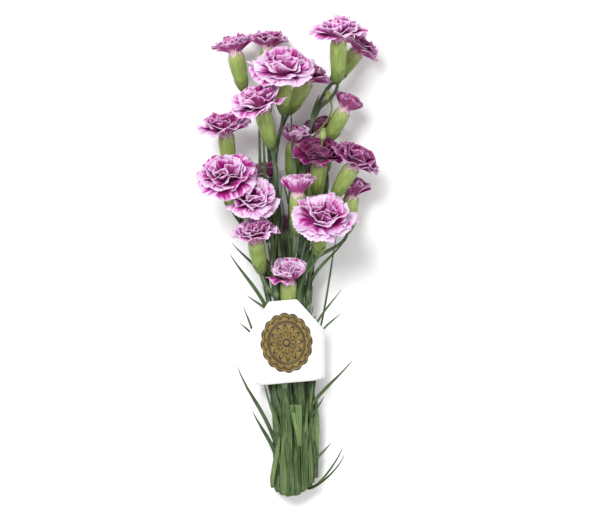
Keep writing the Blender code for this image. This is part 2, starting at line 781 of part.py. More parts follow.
def fit_blooms(bunch):
    """Each bloom's fitted petals, the nearest to the viewer first."""
    crowd = crowd_of(bunch)
    fitted = {}
    order = sorted(enumerate(bunch.heads), key=lambda pair: -pair[1].mouth[2])
    for number, head in order:
        name = head.bloom.name
        frame = bloom_frame(head)
        crowd.refresh()
        fitted[name] = []
        for petal in petals_of(head.bloom, number):
            found = fit_petal(petal, frame, crowd, name)
            if found:
                fitted[name].append(found[0])
                crowd.add(found[1], np.full(len(found[1]), PETAL_CLEARANCE), name)
    return fitted


def blade(grid, thickness, pointed):
    """A closed blade about a middle surface, sharp at its edges: points and faces.

    The first row is drawn together to one point, and the last row too on a pointed blade.
    """
    rows, columns = grid.shape[:2]
    along = np.gradient(grid, axis=0)
    across = np.gradient(grid, axis=1)
    normal = np.cross(along, across)
    normal /= np.maximum(np.linalg.norm(normal, axis=2, keepdims=True), 1e-9)
    points, upper, lower = [], {}, {}
    last = rows - 1
    for i in range(rows):
        for j in range(columns):
            if i == 0 or (pointed and i == last):
                if j == 0:
                    points.append(grid[i].mean(axis=0))
                upper[i, j] = lower[i, j] = len(points) - 1
            elif i == last or j in (0, columns - 1):
                points.append(grid[i, j])
                upper[i, j] = lower[i, j] = len(points) - 1
            else:
                points.append(grid[i, j] + normal[i, j] * thickness / 2)
                points.append(grid[i, j] - normal[i, j] * thickness / 2)
                upper[i, j], lower[i, j] = len(points) - 2, len(points) - 1
    faces = []
    for i in range(last):
        for j in range(columns - 1):
            a, b, c, d = (i, j), (i + 1, j), (i + 1, j + 1), (i, j + 1)
            halves = ((a, b, d), (b, c, d)) if j < (columns - 1) / 2 else ((a, b, c), (a, c, d))
            for half in halves:
                for side, order in ((upper, half), (lower, half[::-1])):
                    face = [side[corner] for corner in order]
                    if len(set(face)) == 3:
                        faces.append(face)
    return np.array(points), faces


def tube(route, radii, sides):
    """A closed tube along a route: points and faces."""
    ways = np.gradient(route, axis=0)
    ways /= np.linalg.norm(ways, axis=1, keepdims=True)
    side = unit(np.cross(ways[0], (0.3, 0.1, 1.0)))
    points = []
    for place, way, radius in zip(route, ways, radii):
        side = unit(side - way * (side @ way))
        up = np.cross(way, side)
        for k in range(sides):
            angle = 2 * math.pi * k / sides
            points.append(place + radius * (math.cos(angle) * side + math.sin(angle) * up))
    faces = [list(range(sides))[::-1]]
    for i in range(len(route) - 1):
        for k in range(sides):
            a, b = i * sides + k, i * sides + (k + 1) % sides
            faces.append([a, b, b + sides, a + sides])
    faces.append([(len(route) - 1) * sides + k for k in range(sides)])
    return np.array(points), faces


def turned(rings, sides):
    """A closed turned solid about +Z from (height, radius, tooth) rings: points and faces."""
    points = []
    for height, radius, tooth in rings:
        for k in range(sides):
            angle = 2 * math.pi * k / sides
            rise = tooth if k % 2 else 0.0
            points.append((radius * math.cos(angle), radius * math.sin(angle), height + rise))
    faces = [list(range(sides))[::-1]]
    for i in range(len(rings) - 1):
        for k in range(sides):
            a, b = i * sides + k, i * sides + (k + 1) % sides
            faces.append([a, b, b + sides, a + sides])
    faces.append([(len(rings) - 1) * sides + k for k in range(sides)])
    return np.array(points), faces


def main_stem(rope):
    """The main stem's tube, thinner towards its bloom."""
    route = rope.route()
    share = np.linspace(0, 1, len(route))
    radii = STEM_RADIUS + (STEM_TOP_RADIUS - STEM_RADIUS) * smooth((share - 0.35) / 0.65)
    return tube(route, radii, STEM_SIDES)


def side_stem(rope):
    """A side stem's tube, from inside the main stem to its calyx."""
    route = rope.route()
    return tube(route, np.full(len(route), SIDE_STEM_RADIUS), SIDE_STEM_SIDES)


def calyx(head):
    """The calyx: a toothed cup on its stem, hollow at the mouth for the petals' claws."""
    length = head.bloom.calyx
    rings = [(-length + length * share, radius, 0.0) for share, radius in CALYX_PROFILE]
    rings.append((-CALYX_TOOTH / 2, CALYX_MOUTH, CALYX_TOOTH))
    rings.append((-CUP_DEPTH, CUP_RADIUS, 0.0))
    points, faces = turned(rings, CALYX_SIDES)
    return to_world(bloom_frame(head), points), faces


def leaf_blade(rope):
    """A leaf: a narrow keeled blade, its root sunk in the stem and its tip pointed."""
    count = len(rope.drawn) - 1
    route = rope.route()
    ways = np.gradient(route, axis=0)
    ways /= np.linalg.norm(ways, axis=1, keepdims=True)
    carrier, at = rope.root
    outward = unit(route[-1] - carrier.points[min(at + count, len(carrier.drawn) - 1)])
    above = 1 if route[-1][2] > axis_z(route[-1][1]) else -1
    facing = outward + np.array([0, 0, LEAF_FACES_UP * above])
    side = unit(np.cross(ways[0], facing))
    grid = np.zeros((len(route), 3, 3))
    for i, (place, way) in enumerate(zip(route, ways)):
        side = unit(side - way * (side @ way))
        up = np.cross(side, way)
        share = i / LEAF_SEGMENTS
        swell = min(1.0, LEAF_ROOT_WIDTH + LEAF_SWELL * share)
        taper = min(1.0, LEAF_TIP[0] * (1 - share) ** LEAF_TIP[1])
        half = rope.half_width * swell * taper
        grid[i] = [place - side * half, place - up * LEAF_KEEL, place + side * half]
    grid[..., 2] = np.maximum(grid[..., 2], LEAF_THICKNESS / 2 + 0.05)
    return blade(grid, LEAF_THICKNESS, True)


def claws(bloom):
    """The bundle of petal claws that sits in the calyx's mouth and widens under the petals."""
    high = bloom_height(bloom)
    seat = CUP_RADIUS * math.cos(math.pi / CALYX_SIDES) - SEAT_GAP
    rings = [(-CUP_DEPTH + SEAT_GAP, seat, 0.0), (CLAW_NECK, seat, 0.0)]
    for share, of_reach, least in (CLAW_SHOULDER, CLAW_TOP):
        rings.append((share * high, least + of_reach * bloom.reach, 0.0))
    return turned(rings, CLAW_SIDES)


def petal_blade(petal, frame):
    """A fitted petal as a closed blade, pressed flat where it meets the surface."""
    return blade(petal_grid(petal, frame), PETAL_THICKNESS, False)


def ring_outline(half_width, half_depth, steps):
    """A flattened ring in the band's XZ plane: flat front and back, round sides."""
    straight = half_width - half_depth
    outline = []
    for side in (1, -1):
        start = 90 if side > 0 else -90
        for k in range(steps + 1):
            angle = math.radians(start - 180 * k / steps)
            outline.append((side * straight + half_depth * math.cos(angle), half_depth * math.sin(angle)))
    return outline


def sleeve(outer, inner, low, top):
    """A closed sleeve between two outlines, from a low edge to an upper edge that varies across."""
    count = len(outer)
    points = []
    for outline in (outer, inner):
        points += [(x, low, z) for x, z in outline]
        points += [(x, top(x, z), z) for x, z in outline]
    faces = []
    for k in range(count):
        n = (k + 1) % count
        faces.append([k, n, count + n, count + k])
        faces.append([2 * count + n, 2 * count + k, 3 * count + k, 3 * count + n])
        faces.append([count + k, count + n, 3 * count + n, 3 * count + k])
        faces.append([n, k, 2 * count + k, 2 * count + n])
    return np.array(points, float), faces


def with_front_corners(outline):
    """The outline with points across its front, where the panel's upper edge turns."""
    half = BAND_TOP_EDGE / 2
    depth = max(z for _, z in outline)
    return outline + [(-half, depth), (half, depth)]


def band_shape():
    """The card band, in its own frame."""
    outer = with_front_corners(ring_outline(BAND_HALF_WIDTH, BAND_HALF_DEPTH, BAND_ARC_STEPS))
    inner = with_front_corners(
        ring_outline(BAND_HALF_WIDTH - BAND_WALL, BAND_HALF_DEPTH - BAND_WALL, BAND_ARC_STEPS)
    )
    shoulder = BAND_SIDE_HEIGHT - BAND_FRONT_HEIGHT / 2

    def top(x, z):
        return float(band_top(x)) if z > 0 else shoulder

    points, faces = sleeve(outer, inner, -BAND_FRONT_HEIGHT / 2, top)
    points[:, 0] *= 1 + BAND_TAPER * points[:, 1] / (BAND_FRONT_HEIGHT / 2)
    return points, faces


def tie_shape():
    """The elastic tie, in the band's frame."""
    outer = ring_outline(TIE_HALF_WIDTH, TIE_HALF_DEPTH, BAND_ARC_STEPS)
    inner = ring_outline(TIE_HALF_WIDTH - TIE_WALL, TIE_HALF_DEPTH - TIE_WALL, BAND_ARC_STEPS)
    return sleeve(outer, inner, -TIE_HEIGHT / 2, lambda x, z: TIE_HEIGHT / 2)


def seal_shape():
    """The seal: a thin oval plate with a scalloped edge, in the band's frame."""
    count = SEAL_SCALLOPS * SEAL_POINTS_EACH
    bottom = BAND_HALF_DEPTH + SEAT_GAP
    points = []
    for z in (bottom, bottom + SEAL_THICKNESS):
        for k in range(count):
            angle = 2 * math.pi * k / count
            dent = SEAL_SCALLOP_DEPTH * abs(math.cos(SEAL_SCALLOPS * angle / 2))
            across, up = (radius - SEAL_SCALLOP_DEPTH + dent for radius in SEAL_RADII)
            points.append((across * math.cos(angle), up * math.sin(angle) - SEAL_LIFT, z))
    faces = [list(range(count))[::-1], [count + k for k in range(count)]]
    for k in range(count):
        n = (k + 1) % count
        faces.append([k, n, count + n, count + k])
    return np.array(points), faces


def make_material(name, colour, roughness, metallic=0.0):
    """A plain material of that colour."""
    material = bpy.data.materials.new(name)
    material.use_nodes = True
    shader = material.node_tree.nodes["Principled BSDF"]
    shader.inputs["Base Color"].default_value = (*colour, 1.0)
    shader.inputs["Roughness"].default_value = roughness
    shader.inputs["Metallic"].default_value = metallic
    return material


def make_object(name, shape, frame):
    """An object from points in the layout's millimetres, with its origin at its frame."""
    points, faces = shape
    to_local = np.array(frame.inverted())
    local = (np.asarray(points) @ to_local[:3, :3].T + to_local[:3, 3]) * MM
    mesh = bpy.data.meshes.new(name)
    mesh.from_pydata(local.tolist(), [], faces)
    mesh.validate()
    mesh.update()
    obj = bpy.data.objects.new(name, mesh)
    bpy.context.scene.collection.objects.link(obj)
    place = frame.copy()
    place.translation = frame.translation * MM
    obj.matrix_world = place
    return obj


def keep_outer_shell(mesh):
    """Drops the walls of sealed hollows, and scraps, from a mesh whose largest shell is its outside."""
    work = bmesh.new()
    work.from_mesh(mesh)
    left, shells = set(work.faces), []
    while left:
        shell, front = set(), [left.pop()]
        while front:
            face = front.pop()
            shell.add(face)
            near = {other for edge in face.edges for other in edge.link_faces} & left
            left -= near
            front += near
        shells.append(shell)
    outer = max(shells, key=len)
    inner = [face for shell in shells if shell is not outer for face in shell]
    bmesh.ops.delete(work, geom=inner, context="FACES")
    work.to_mesh(mesh)
    work.free()


def fuse(name, shapes, frame):
    """One object from shapes that overlap: a Boolean union of the first with a collection of the rest."""
    body = make_object(name, shapes[0], frame)
    others = bpy.data.collections.new(name + "_parts")
    bpy.context.scene.collection.children.link(others)
    for number, shape in enumerate(shapes[1:]):
        piece = make_object(f"{name}_{number}", shape, frame)
        bpy.context.scene.collection.objects.unlink(piece)
        others.objects.link(piece)
    union = body.modifiers.new("union", "BOOLEAN")
    union.operation = "UNION"
    union.operand_type = "COLLECTION"
    union.collection = others
    union.solver = "MANIFOLD"
    bpy.context.view_layer.update()
    graph = bpy.context.evaluated_depsgraph_get()
    joined = bpy.data.meshes.new_from_object(body.evaluated_get(graph))
    body.modifiers.clear()
    body.data = joined
    keep_outer_shell(joined)
    for piece in list(others.objects):
        bpy.data.objects.remove(piece)
    bpy.data.collections.remove(others)
    return body


def finish_object(obj, material, parent, crease=35.0):
    """Dresses an object in its material, shades it smooth and parents it to the bunch."""
    obj.data.materials.clear()
    obj.data.materials.append(material)
    obj.data.shade_smooth()
    obj.data.set_sharp_from_angle(angle=math.radians(crease))
    obj.parent = parent


def build_spray(spray, bunch):
    """One spray: main stem, side stems, calyxes and leaves in one piece."""
    main = bunch.mains[spray]
    shapes = [main_stem(main)]
    shapes += [side_stem(rope) for rope in bunch.sides if rope.spray == spray]
    shapes += [calyx(head) for head in bunch.heads if head.bloom.spray == spray]
    shapes += [leaf_blade(rope) for rope in bunch.leaves if rope.spray == spray]
    return fuse("spray_" + spray, shapes, Matrix.Translation(main.points[0]))


def build_bloom(head, petals):
    """One bloom: its claws and petals in one piece."""
    frame = bloom_frame(head)
    points, faces = claws(head.bloom)
    shapes = [(to_world(frame, points), faces)]
    shapes += [petal_blade(petal, frame) for petal in petals]
    return fuse("bloom_" + head.bloom.name, shapes, frame)


def build_flat_parts():
    """The band, the tie and the seal."""
    frame = band_frame()
    return [
        make_object(name, (to_world(frame, points), faces), frame)
        for name, (points, faces) in (
            ("card_band", band_shape()),
            ("elastic_tie", tie_shape()),
            ("gold_seal", seal_shape()),
        )
    ]


def set_down(objects, root):
    """Moves the bunch so that it stands on Z = 0 with its origin under the middle of its box."""
    bpy.context.view_layer.update()
    corners = np.vstack(
        [
            np.array([obj.matrix_world @ vertex.co for vertex in obj.data.vertices])
            for obj in objects
        ]
    )
    low, high = corners.min(axis=0), corners.max(axis=0)
    root.location = (-(low[0] + high[0]) / 2, -(low[1] + high[1]) / 2, -low[2])
    bpy.context.view_layer.update()


def main():
    """Builds the bunch."""
    for obj in list(bpy.data.objects):
        bpy.data.objects.remove(obj)
    root = bpy.data.objects.new("bunch", None)
    bpy.context.scene.collection.objects.link(root)
    green = make_material("leaf_green", (0.16, 0.27, 0.13), 0.55)
    pink = make_material("petal_pink", (0.62, 0.16, 0.42), 0.6)
    looks = {
        "card_band": make_material("white_card", (0.86, 0.86, 0.85), 0.7),
        "elastic_tie": make_material("natural_rubber", (0.62, 0.45, 0.25), 0.6),
        "gold_seal": make_material("gold_foil", (0.55, 0.40, 0.12), 0.35, 0.9),
    }
    bunch = Bunch()
    bunch.settle()
    petals = fit_blooms(bunch)
    objects = []
    for spray in spray_names():
        objects.append(build_spray(spray, bunch))
        finish_object(objects[-1], green, root)
    for head in bunch.heads:
        objects.append(build_bloom(head, petals[head.bloom.name]))
        finish_object(objects[-1], pink, root)
    for obj in build_flat_parts():
        finish_object(obj, looks[obj.name], root)
        objects.append(obj)
    set_down(objects, root)


main()
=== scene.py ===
"""Dresses the bunch of cut spray carnations: petals, calyxes, stems, leaves, card band, seal and tie.

The stems, leaves and blooms are first laid out in millimetres, in a frame whose zero lies on the surface
under the middle of the cut ends, with the bunch along +Y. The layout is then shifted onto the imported
model, whose pieces stand where the same layout put them.
"""

from __future__ import annotations

import json
import logging
import math
from dataclasses import dataclass, field, replace
from enum import Enum
from typing import Optional, Sequence

import bpy
import numpy as np
from mathutils import Matrix, Vector, kdtree

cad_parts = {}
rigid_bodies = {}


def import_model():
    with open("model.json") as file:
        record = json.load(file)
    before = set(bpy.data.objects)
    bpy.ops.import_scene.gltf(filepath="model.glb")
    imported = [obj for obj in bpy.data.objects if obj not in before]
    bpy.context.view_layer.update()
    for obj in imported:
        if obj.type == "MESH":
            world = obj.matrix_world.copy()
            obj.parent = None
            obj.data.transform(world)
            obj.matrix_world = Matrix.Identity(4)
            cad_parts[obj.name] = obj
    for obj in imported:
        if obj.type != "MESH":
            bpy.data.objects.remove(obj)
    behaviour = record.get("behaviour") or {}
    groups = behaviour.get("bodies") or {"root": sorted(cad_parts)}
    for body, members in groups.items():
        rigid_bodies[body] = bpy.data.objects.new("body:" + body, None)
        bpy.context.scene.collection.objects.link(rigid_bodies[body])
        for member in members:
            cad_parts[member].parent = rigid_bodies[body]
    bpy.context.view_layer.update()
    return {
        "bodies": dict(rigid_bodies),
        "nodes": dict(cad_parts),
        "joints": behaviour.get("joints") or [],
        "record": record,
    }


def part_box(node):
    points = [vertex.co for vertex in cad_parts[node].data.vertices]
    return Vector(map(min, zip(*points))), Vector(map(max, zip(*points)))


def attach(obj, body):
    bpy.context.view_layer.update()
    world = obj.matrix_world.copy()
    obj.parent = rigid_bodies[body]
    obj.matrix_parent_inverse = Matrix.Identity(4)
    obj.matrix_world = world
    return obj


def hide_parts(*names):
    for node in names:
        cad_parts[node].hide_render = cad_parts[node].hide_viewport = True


LOG = logging.getLogger("bunch")
MM = 0.001
BODY = "root"
Array = np.ndarray
Pair = tuple[float, float]
Point = tuple[float, float, float]
Faces = list[list[int]]
Socket = bpy.types.NodeSocket
Node = bpy.types.Node
Tree = bpy.types.NodeTree
Material = bpy.types.Material
Piece = bpy.types.Object


class Tone(Enum):
    """How deep a bloom's colour is: 0 is pale pink, 1 is dark purple."""

    PALE = 0.0
    PINK = 0.25
    ROSE = 0.45
    PURPLE = 0.7
    DARK = 1.0


class Part(Enum):
    """The kinds of surface on a green spray, in the order of its material slots."""

    STEM = 0
    CALYX = 1
    LEAF = 2


@dataclass(frozen=True)
class BloomPlan:
    """One bloom: its spray, the calyx's mouth, the way it faces, its reach, its calyx and how open it is."""

    name: str
    spray: str
    mouth: Point
    lean: Point
    reach: float
    calyx: float
    openness: float
    tone: Tone = Tone.PINK


BLOOMS: tuple[BloomPlan, ...] = (
    BloomPlan("a", "back_left", (-48, 411, 44), (-0.22, 0.96, 0.05), 19, 33, 0.66, Tone.ROSE),
    BloomPlan("b", "back_left", (-18, 418, 17), (0.02, 0.99, 0.04), 19, 32, 0.72, Tone.ROSE),
    BloomPlan("c", "right", (48, 422, 76), (0.02, 0.96, 0.26), 27, 38, 0.92, Tone.PINK),
    BloomPlan("d", "front_centre", (-3, 387, 88), (0.02, 0.88, 0.48), 31, 35, 1.00, Tone.PALE),
    BloomPlan("e", "front_centre", (17, 386, 42), (0.48, 0.86, 0.12), 21, 33, 0.80, Tone.ROSE),
    BloomPlan("f", "right", (64, 414, 32), (0.62, 0.78, -0.04), 20, 35, 0.90, Tone.ROSE),
    BloomPlan("g", "front_left", (-22, 356, 92), (-0.22, 0.90, 0.36), 28, 36, 0.95, Tone.PINK),
    BloomPlan("h", "left", (-57, 335, 48), (-0.10, 0.94, 0.30), 25, 33, 0.86, Tone.ROSE),
    BloomPlan("i", "right", (52, 358, 44), (0.45, 0.88, 0.05), 15, 30, 0.50, Tone.PURPLE),
    BloomPlan("j", "back_right", (31, 335, 17), (-0.18, 0.97, 0.06), 20, 32, 0.80, Tone.DARK),
    BloomPlan("k", "centre", (9, 328, 36), (0.10, 0.96, 0.20), 18, 32, 0.70, Tone.PINK),
    BloomPlan("l", "right_front", (30, 309, 54), (0.06, 0.90, 0.42), 25, 33, 0.92, Tone.DARK),
    BloomPlan("m", "right_low", (60, 305, 62), (0.50, 0.82, 0.28), 24, 32, 0.85, Tone.PURPLE),
    BloomPlan("n", "left", (-55, 291, 74), (-0.12, 0.68, 0.72), 28, 34, 1.00, Tone.PINK),
    BloomPlan("o", "back_left", (-22, 292, 24), (0.00, 0.98, 0.14), 19, 32, 0.75, Tone.PURPLE),
    BloomPlan("p", "left_low", (-33, 269, 70), (0.02, 0.70, 0.71), 26, 33, 1.00, Tone.PALE),
    BloomPlan("q", "back_right", (17, 294, 19), (0.06, 0.98, 0.06), 18, 32, 0.70, Tone.DARK),
    BloomPlan("r", "centre", (10, 278, 80), (0.00, 0.98, 0.14), 15, 35, 0.42, Tone.ROSE),
    BloomPlan("s", "right_low", (60, 277, 34), (0.10, 0.97, 0.20), 18, 32, 0.62, Tone.PURPLE),
    BloomPlan("t", "right_front", (33, 252, 88), (0.12, 0.72, 0.68), 30, 38, 1.00, Tone.PALE),
    BloomPlan("u", "left_low", (-29, 238, 72), (-0.16, 0.90, 0.40), 23, 32, 0.85, Tone.PINK),
    BloomPlan("v", "front_centre", (3, 199, 46), (0.02, 0.93, 0.36), 22, 30, 0.80, Tone.PINK),
    BloomPlan("w", "low", (-2, 243, 13), (0.00, 0.98, 0.10), 14, 28, 0.45, Tone.PURPLE),
)


@dataclass(frozen=True)
class LeafPlan:
    """One leaf: its spray, the height where it starts, its tip, and whether it passes outside the band."""

    spray: str
    root: float
    tip: Point
    outside: bool = False
    half_width: float = 2.8


FREE_LEAVES: tuple[LeafPlan, ...] = (
    LeafPlan("left", 34, (-42, 121, 34), True, 2.8),
    LeafPlan("left", 20, (-32, 78, 38), False, 2.8),
    LeafPlan("left_low", 24, (-29, 102, 42), False, 3.0),
    LeafPlan("front_centre", 46, (8, 86, 42), False, 3.6),
    LeafPlan("right", 52, (37, 92, 40), False, 2.2),
    LeafPlan("right_low", 18, (39, 48, 32), False, 2.0),
    LeafPlan("right_low", 10, (50, 43, 18), False, 2.0),
    LeafPlan("right", 8, (56, 37, 28), False, 2.4),
    LeafPlan("right", 62, (64, 127, 36), True, 2.6),
    LeafPlan("left", 158, (-55, 226, 54), False, 2.6),
    LeafPlan("left", 190, (-52, 236, 34), False, 2.0),
    LeafPlan("left_low", 156, (-39, 186, 42), False, 2.2),
    LeafPlan("right_low", 190, (54, 239, 46), False, 2.4),
    LeafPlan("right", 158, (52, 189, 48), False, 2.3),
    LeafPlan("right_low", 152, (49, 169, 32), False, 2.3),
    LeafPlan("right_front", 176, (22, 226, 62), False, 2.3),
)


@dataclass(frozen=True)
class BudPlan:
    """One small closed bud: its spray, where its base is, the way it points and its length."""

    spray: str
    base: Point
    lean: Point
    length: float


BUDS = (
    BudPlan("right_front", (33, 331, 66), (0.10, 0.98, 0.15), 13.0),
    BudPlan("right", (41, 368, 50), (-0.35, 0.92, 0.10), 12.0),
)


@dataclass(frozen=True)
class Sizes:
    """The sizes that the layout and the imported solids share, in millimetres."""

    stem_clearance: float = 0.37
    petal_clearance: float = 0.85
    axis_start: float = 13.0
    axis_rise: float = 0.10
    stem_radius: float = 2.9
    stem_top_radius: float = 2.0
    side_stem_radius: float = 1.5
    stem_step: float = 4.0
    ring_every: int = 4
    waist_y: float = 192.0
    waist_spread: Pair = (0.33, 0.26)
    foot_narrowing: float = 0.72
    foot_shift: float = 6.0
    foot_rounding: float = 0.045
    head_middle_z: float = 55.0
    stem_end_step: float = 1.1
    stem_end_steps: int = 4
    side_stem_drop: float = 34.0
    least_steps: int = 4
    calyx_profile: tuple[Pair, ...] = ((0.0, 2.0), (0.36, 6.8))
    calyx_mouth: float = 7.7
    cup_depth: float = 5.0
    cup_radius: float = 5.0
    claw_shoulder: Point = (0.42, 0.17, 2.2)
    leaf_step: float = 4.0
    leaf_segments: int = 4
    leaf_guard: float = 2.7
    leaf_tip_bend: float = 0.35
    joints_low: Pair = (22.0, 62.0)
    joints_high: Pair = (178.0, 226.0)
    low_leaf_length: float = 78.0
    high_leaf_length: float = 52.0
    low_leaf_spread: float = 12.0
    high_leaf_spread: float = 7.0
    joint_stagger: float = 3.0
    leaf_reaches: tuple[float, ...] = (0.85, 0.95, 1.05, 1.15)
    leaf_fan: float = 0.9
    crowded_core: float = 9.0
    band_centre: Pair = (-0.7, 145.0)
    band_turn: float = 5.0
    band_half_width: float = 36.6
    band_half_depth: float = 16.4
    band_wall: float = 0.8
    band_side_height: float = 45.0
    band_front_height: float = 78.0
    band_top_edge: float = 24.0
    band_taper: float = 0.09
    tie_half_width: float = 25.3
    tie_half_depth: float = 14.6
    tie_wall: float = 1.4
    tie_height: float = 5.0
    tie_pull: float = 0.012
    tie_pull_reach: float = 16.0


@dataclass(frozen=True)
class Settling:
    """How readily each kind of piece gives way while the bunch settles, and how fast it all happens."""

    rounds: int = 380
    renew: int = 19
    near_margin: float = 5.0
    stem_give: float = 0.5
    side_stem_give: float = 0.7
    leaf_give: float = 1.0
    head_give: float = 0.35
    crowd_damping: float = 0.55
    shape_memory: float = 0.004
    head_memory: float = 4.0
    head_ease: float = 0.5
    evening: float = 0.5
    evening_rounds: int = 2
    end_ease: float = 0.3
    floor_margin: float = 0.1
    head_floor: float = 7.6
    head_edge: float = 0.6
    band_margins: Pair = (4.0, 3.0)
    tie_margin: float = 5.0
    outside_margin: float = 1.0
    calyx_balls: tuple[Pair, ...] = (
        (0.85, 4.3),
        (0.65, 6.9),
        (0.45, 7.2),
        (0.25, 7.5),
        (0.05, 7.8),
    )
    petal_balls: tuple[Pair, ...] = ((0.35, 0.42), (1.0, 0.58))


@dataclass(frozen=True)
class PetalSizes:
    """How the solids' petals are drawn: rings, openings, shares and the ranges of the seeded draws."""

    full_reach: float = 25.5
    half_reach: float = 20.0
    root: Pair = (3.0, 3.4)
    inner_root: Pair = (1.4, 5.0)
    start_angle: float = 24.0
    claw_share: float = 0.60
    claw_end: float = 0.30
    outer_opening: float = 104.0
    inner_opening: float = 46.0
    floor: float = 0.8
    cover: float = 0.94
    outer_count: int = 5
    outer_size: Pair = (1.0, 1.05)
    inner_size: Pair = (0.86, 0.84)
    inner_shift: float = 0.6
    outer_grid: tuple[int, int] = (3, 3)
    inner_grid: tuple[int, int] = (2, 3)
    claw_width: float = 0.22
    flare: Pair = (0.08, 0.68)
    edge_rounding: float = 0.20
    curl_start: float = 0.5
    fine_steps: int = 33
    seed: int = 40
    turn_spread: float = 0.05
    opening_spread: float = 12.0
    length_range: Pair = (0.94, 1.04)
    width_range: Pair = (0.95, 1.1)
    curl_range: Pair = (-6.0, 26.0)
    wave_range: Pair = (0.06, 0.11)
    cup_range: Pair = (-0.12, 0.16)
    fit_sizes: tuple[float, ...] = (1.0, 0.86, 0.72, 0.58)
    fit_openings: tuple[float, ...] = (1.0, 0.88, 0.76, 0.62, 0.48, 0.34, 0.2)


SIZES = Sizes()
SETTLING = Settling()
PETALS = PetalSizes()


def unit(vector: Sequence[float] | Array) -> Array:
    """Scales a vector to length one."""
    vector = np.asarray(vector, float)
    return vector / np.linalg.norm(vector)


def axis_z(y: float | Array) -> float | Array:
    """Gives the height of the bunch's middle line at a distance from the cut ends."""
    return SIZES.axis_start + SIZES.axis_rise * y


def smooth(t: float | Array) -> Array:
    """Rises from zero to one with level ends."""
    t = np.clip(t, 0.0, 1.0)
    return t * t * (3 - 2 * t)


def hermite(start: Point | Array, start_way: Point | Array, end: Array, end_way: Array, step: float) -> Array:
    """Draws a smooth curve between two points.

    Args:
        start: First point.
        start_way: The way that the curve leaves it.
        end: Last point.
        end_way: The way that the curve reaches it.
        step: About how far apart the curve's points are.

    Returns:
        The curve's points.
    """
    start, end = np.asarray(start, float), np.asarray(end, float)
    span = np.linalg.norm(end - start)
    count = max(SIZES.least_steps, round(span / step))
    t = np.linspace(0, 1, count + 1)[:, None]
    pull_a, pull_b = unit(start_way) * span, unit(end_way) * span
    from_start = (2 * t**3 - 3 * t**2 + 1) * start + (t**3 - 2 * t**2 + t) * pull_a
    return from_start + (3 * t**2 - 2 * t**3) * end + (t**3 - t**2) * pull_b


def band_frame() -> Matrix:
    """Places the band.

    Returns:
        Its place: local X across its front panel, Y up the bunch and Z out of the panel.
    """
    x, y = SIZES.band_centre
    turn = Matrix.Rotation(math.radians(SIZES.band_turn), 4, "Z")
    pitch = Matrix.Rotation(math.atan(SIZES.axis_rise), 4, "X")
    return Matrix.Translation((x, y, axis_z(y))) @ turn @ pitch


def to_world(frame: Matrix, local: Array) -> Array:
    """Turns points of a frame into points of the layout."""
    matrix = np.array(frame)
    return local @ matrix[:3, :3].T + matrix[:3, 3]


def denser(points: Array, parts: int = 3) -> Array:
    """Puts more points between those of a rope, so that each of its steps becomes several."""
    fine = np.linspace(0, len(points) - 1, (len(points) - 1) * parts + 1)
    return np.stack([np.interp(fine, np.arange(len(points)), points[:, k]) for k in range(3)], axis=1)


@dataclass(eq=False)
class Rope:
    """A stem or leaf as points along its middle: it keeps its drawn shape and gives way smoothly.

    The guard is how near another piece's middle may come. The root is the rope that carries it, and at
    which of its points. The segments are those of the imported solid.
    """

    drawn: Array
    guard: float
    spray: str
    give: float
    root: Optional[tuple[Rope, int]] = None
    head: Optional[Head] = None
    outside: bool = False
    half_width: float = 0.0
    segments: int = 0
    moved: Array = field(init=False)

    def __post_init__(self) -> None:
        """Starts where it is drawn, with a segment for every few points unless told otherwise."""
        self.moved = np.zeros_like(self.drawn)
        self.segments = self.segments or round((len(self.drawn) - 1) / SIZES.ring_every)

    @property
    def points(self) -> Array:
        """Where the rope lies now."""
        return self.drawn + self.moved

    def route(self) -> Array:
        """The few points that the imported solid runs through."""
        last = len(self.drawn) - 1
        return self.points[[round(last * k / self.segments) for k in range(self.segments + 1)]]

    def at_height(self, y: float) -> int:
        """Finds which of the drawn points is nearest to a height."""
        return int(np.abs(self.drawn[:, 1] - y).argmin())

    def way_at(self, at: int) -> Array:
        """Gives the way that the drawn rope runs at one of its points."""
        return self.drawn[at + 1] - self.drawn[at - 1]


class Head:
    """A bloom with its calyx as balls on its axis, which move together."""

    def __init__(self, bloom: BloomPlan) -> None:
        """Takes the bloom's plan.

        Args:
            bloom: The bloom that it stands for.
        """
        self.bloom = bloom
        self.lean = unit(bloom.lean)
        self.drawn = np.array(bloom.mouth, float)
        self.moved = np.zeros(3)
        calyx_balls, petal_balls = SETTLING.calyx_balls, SETTLING.petal_balls
        heights = [-share * bloom.calyx for share, _ in calyx_balls]
        heights += [share * bloom_height(bloom) for share, _ in petal_balls]
        radii = [radius for _, radius in calyx_balls]
        radii += [share * bloom.reach for _, share in petal_balls]
        self.offsets = np.array(heights)[:, None] * self.lean
        self.guards = np.array(radii)
        self.is_petal = np.array([False] * len(calyx_balls) + [True] * len(petal_balls))

    @property
    def mouth(self) -> Array:
        """The middle of the calyx's mouth."""
        return self.drawn + self.moved

    @property
    def base(self) -> Array:
        """The foot of the calyx, on its stem."""
        return self.mouth - self.lean * self.bloom.calyx

    def frame(self) -> Matrix:
        """The bloom's place: origin in the calyx's mouth, +Z the way that it faces."""
        turn = Vector(self.lean).to_track_quat("Z", "Y").to_matrix().to_4x4()
        return Matrix.Translation(self.mouth) @ turn


def spray_names() -> list[str]:
    """Lists the sprays in the order in which the blooms name them."""
    return list(dict.fromkeys(bloom.spray for bloom in BLOOMS))


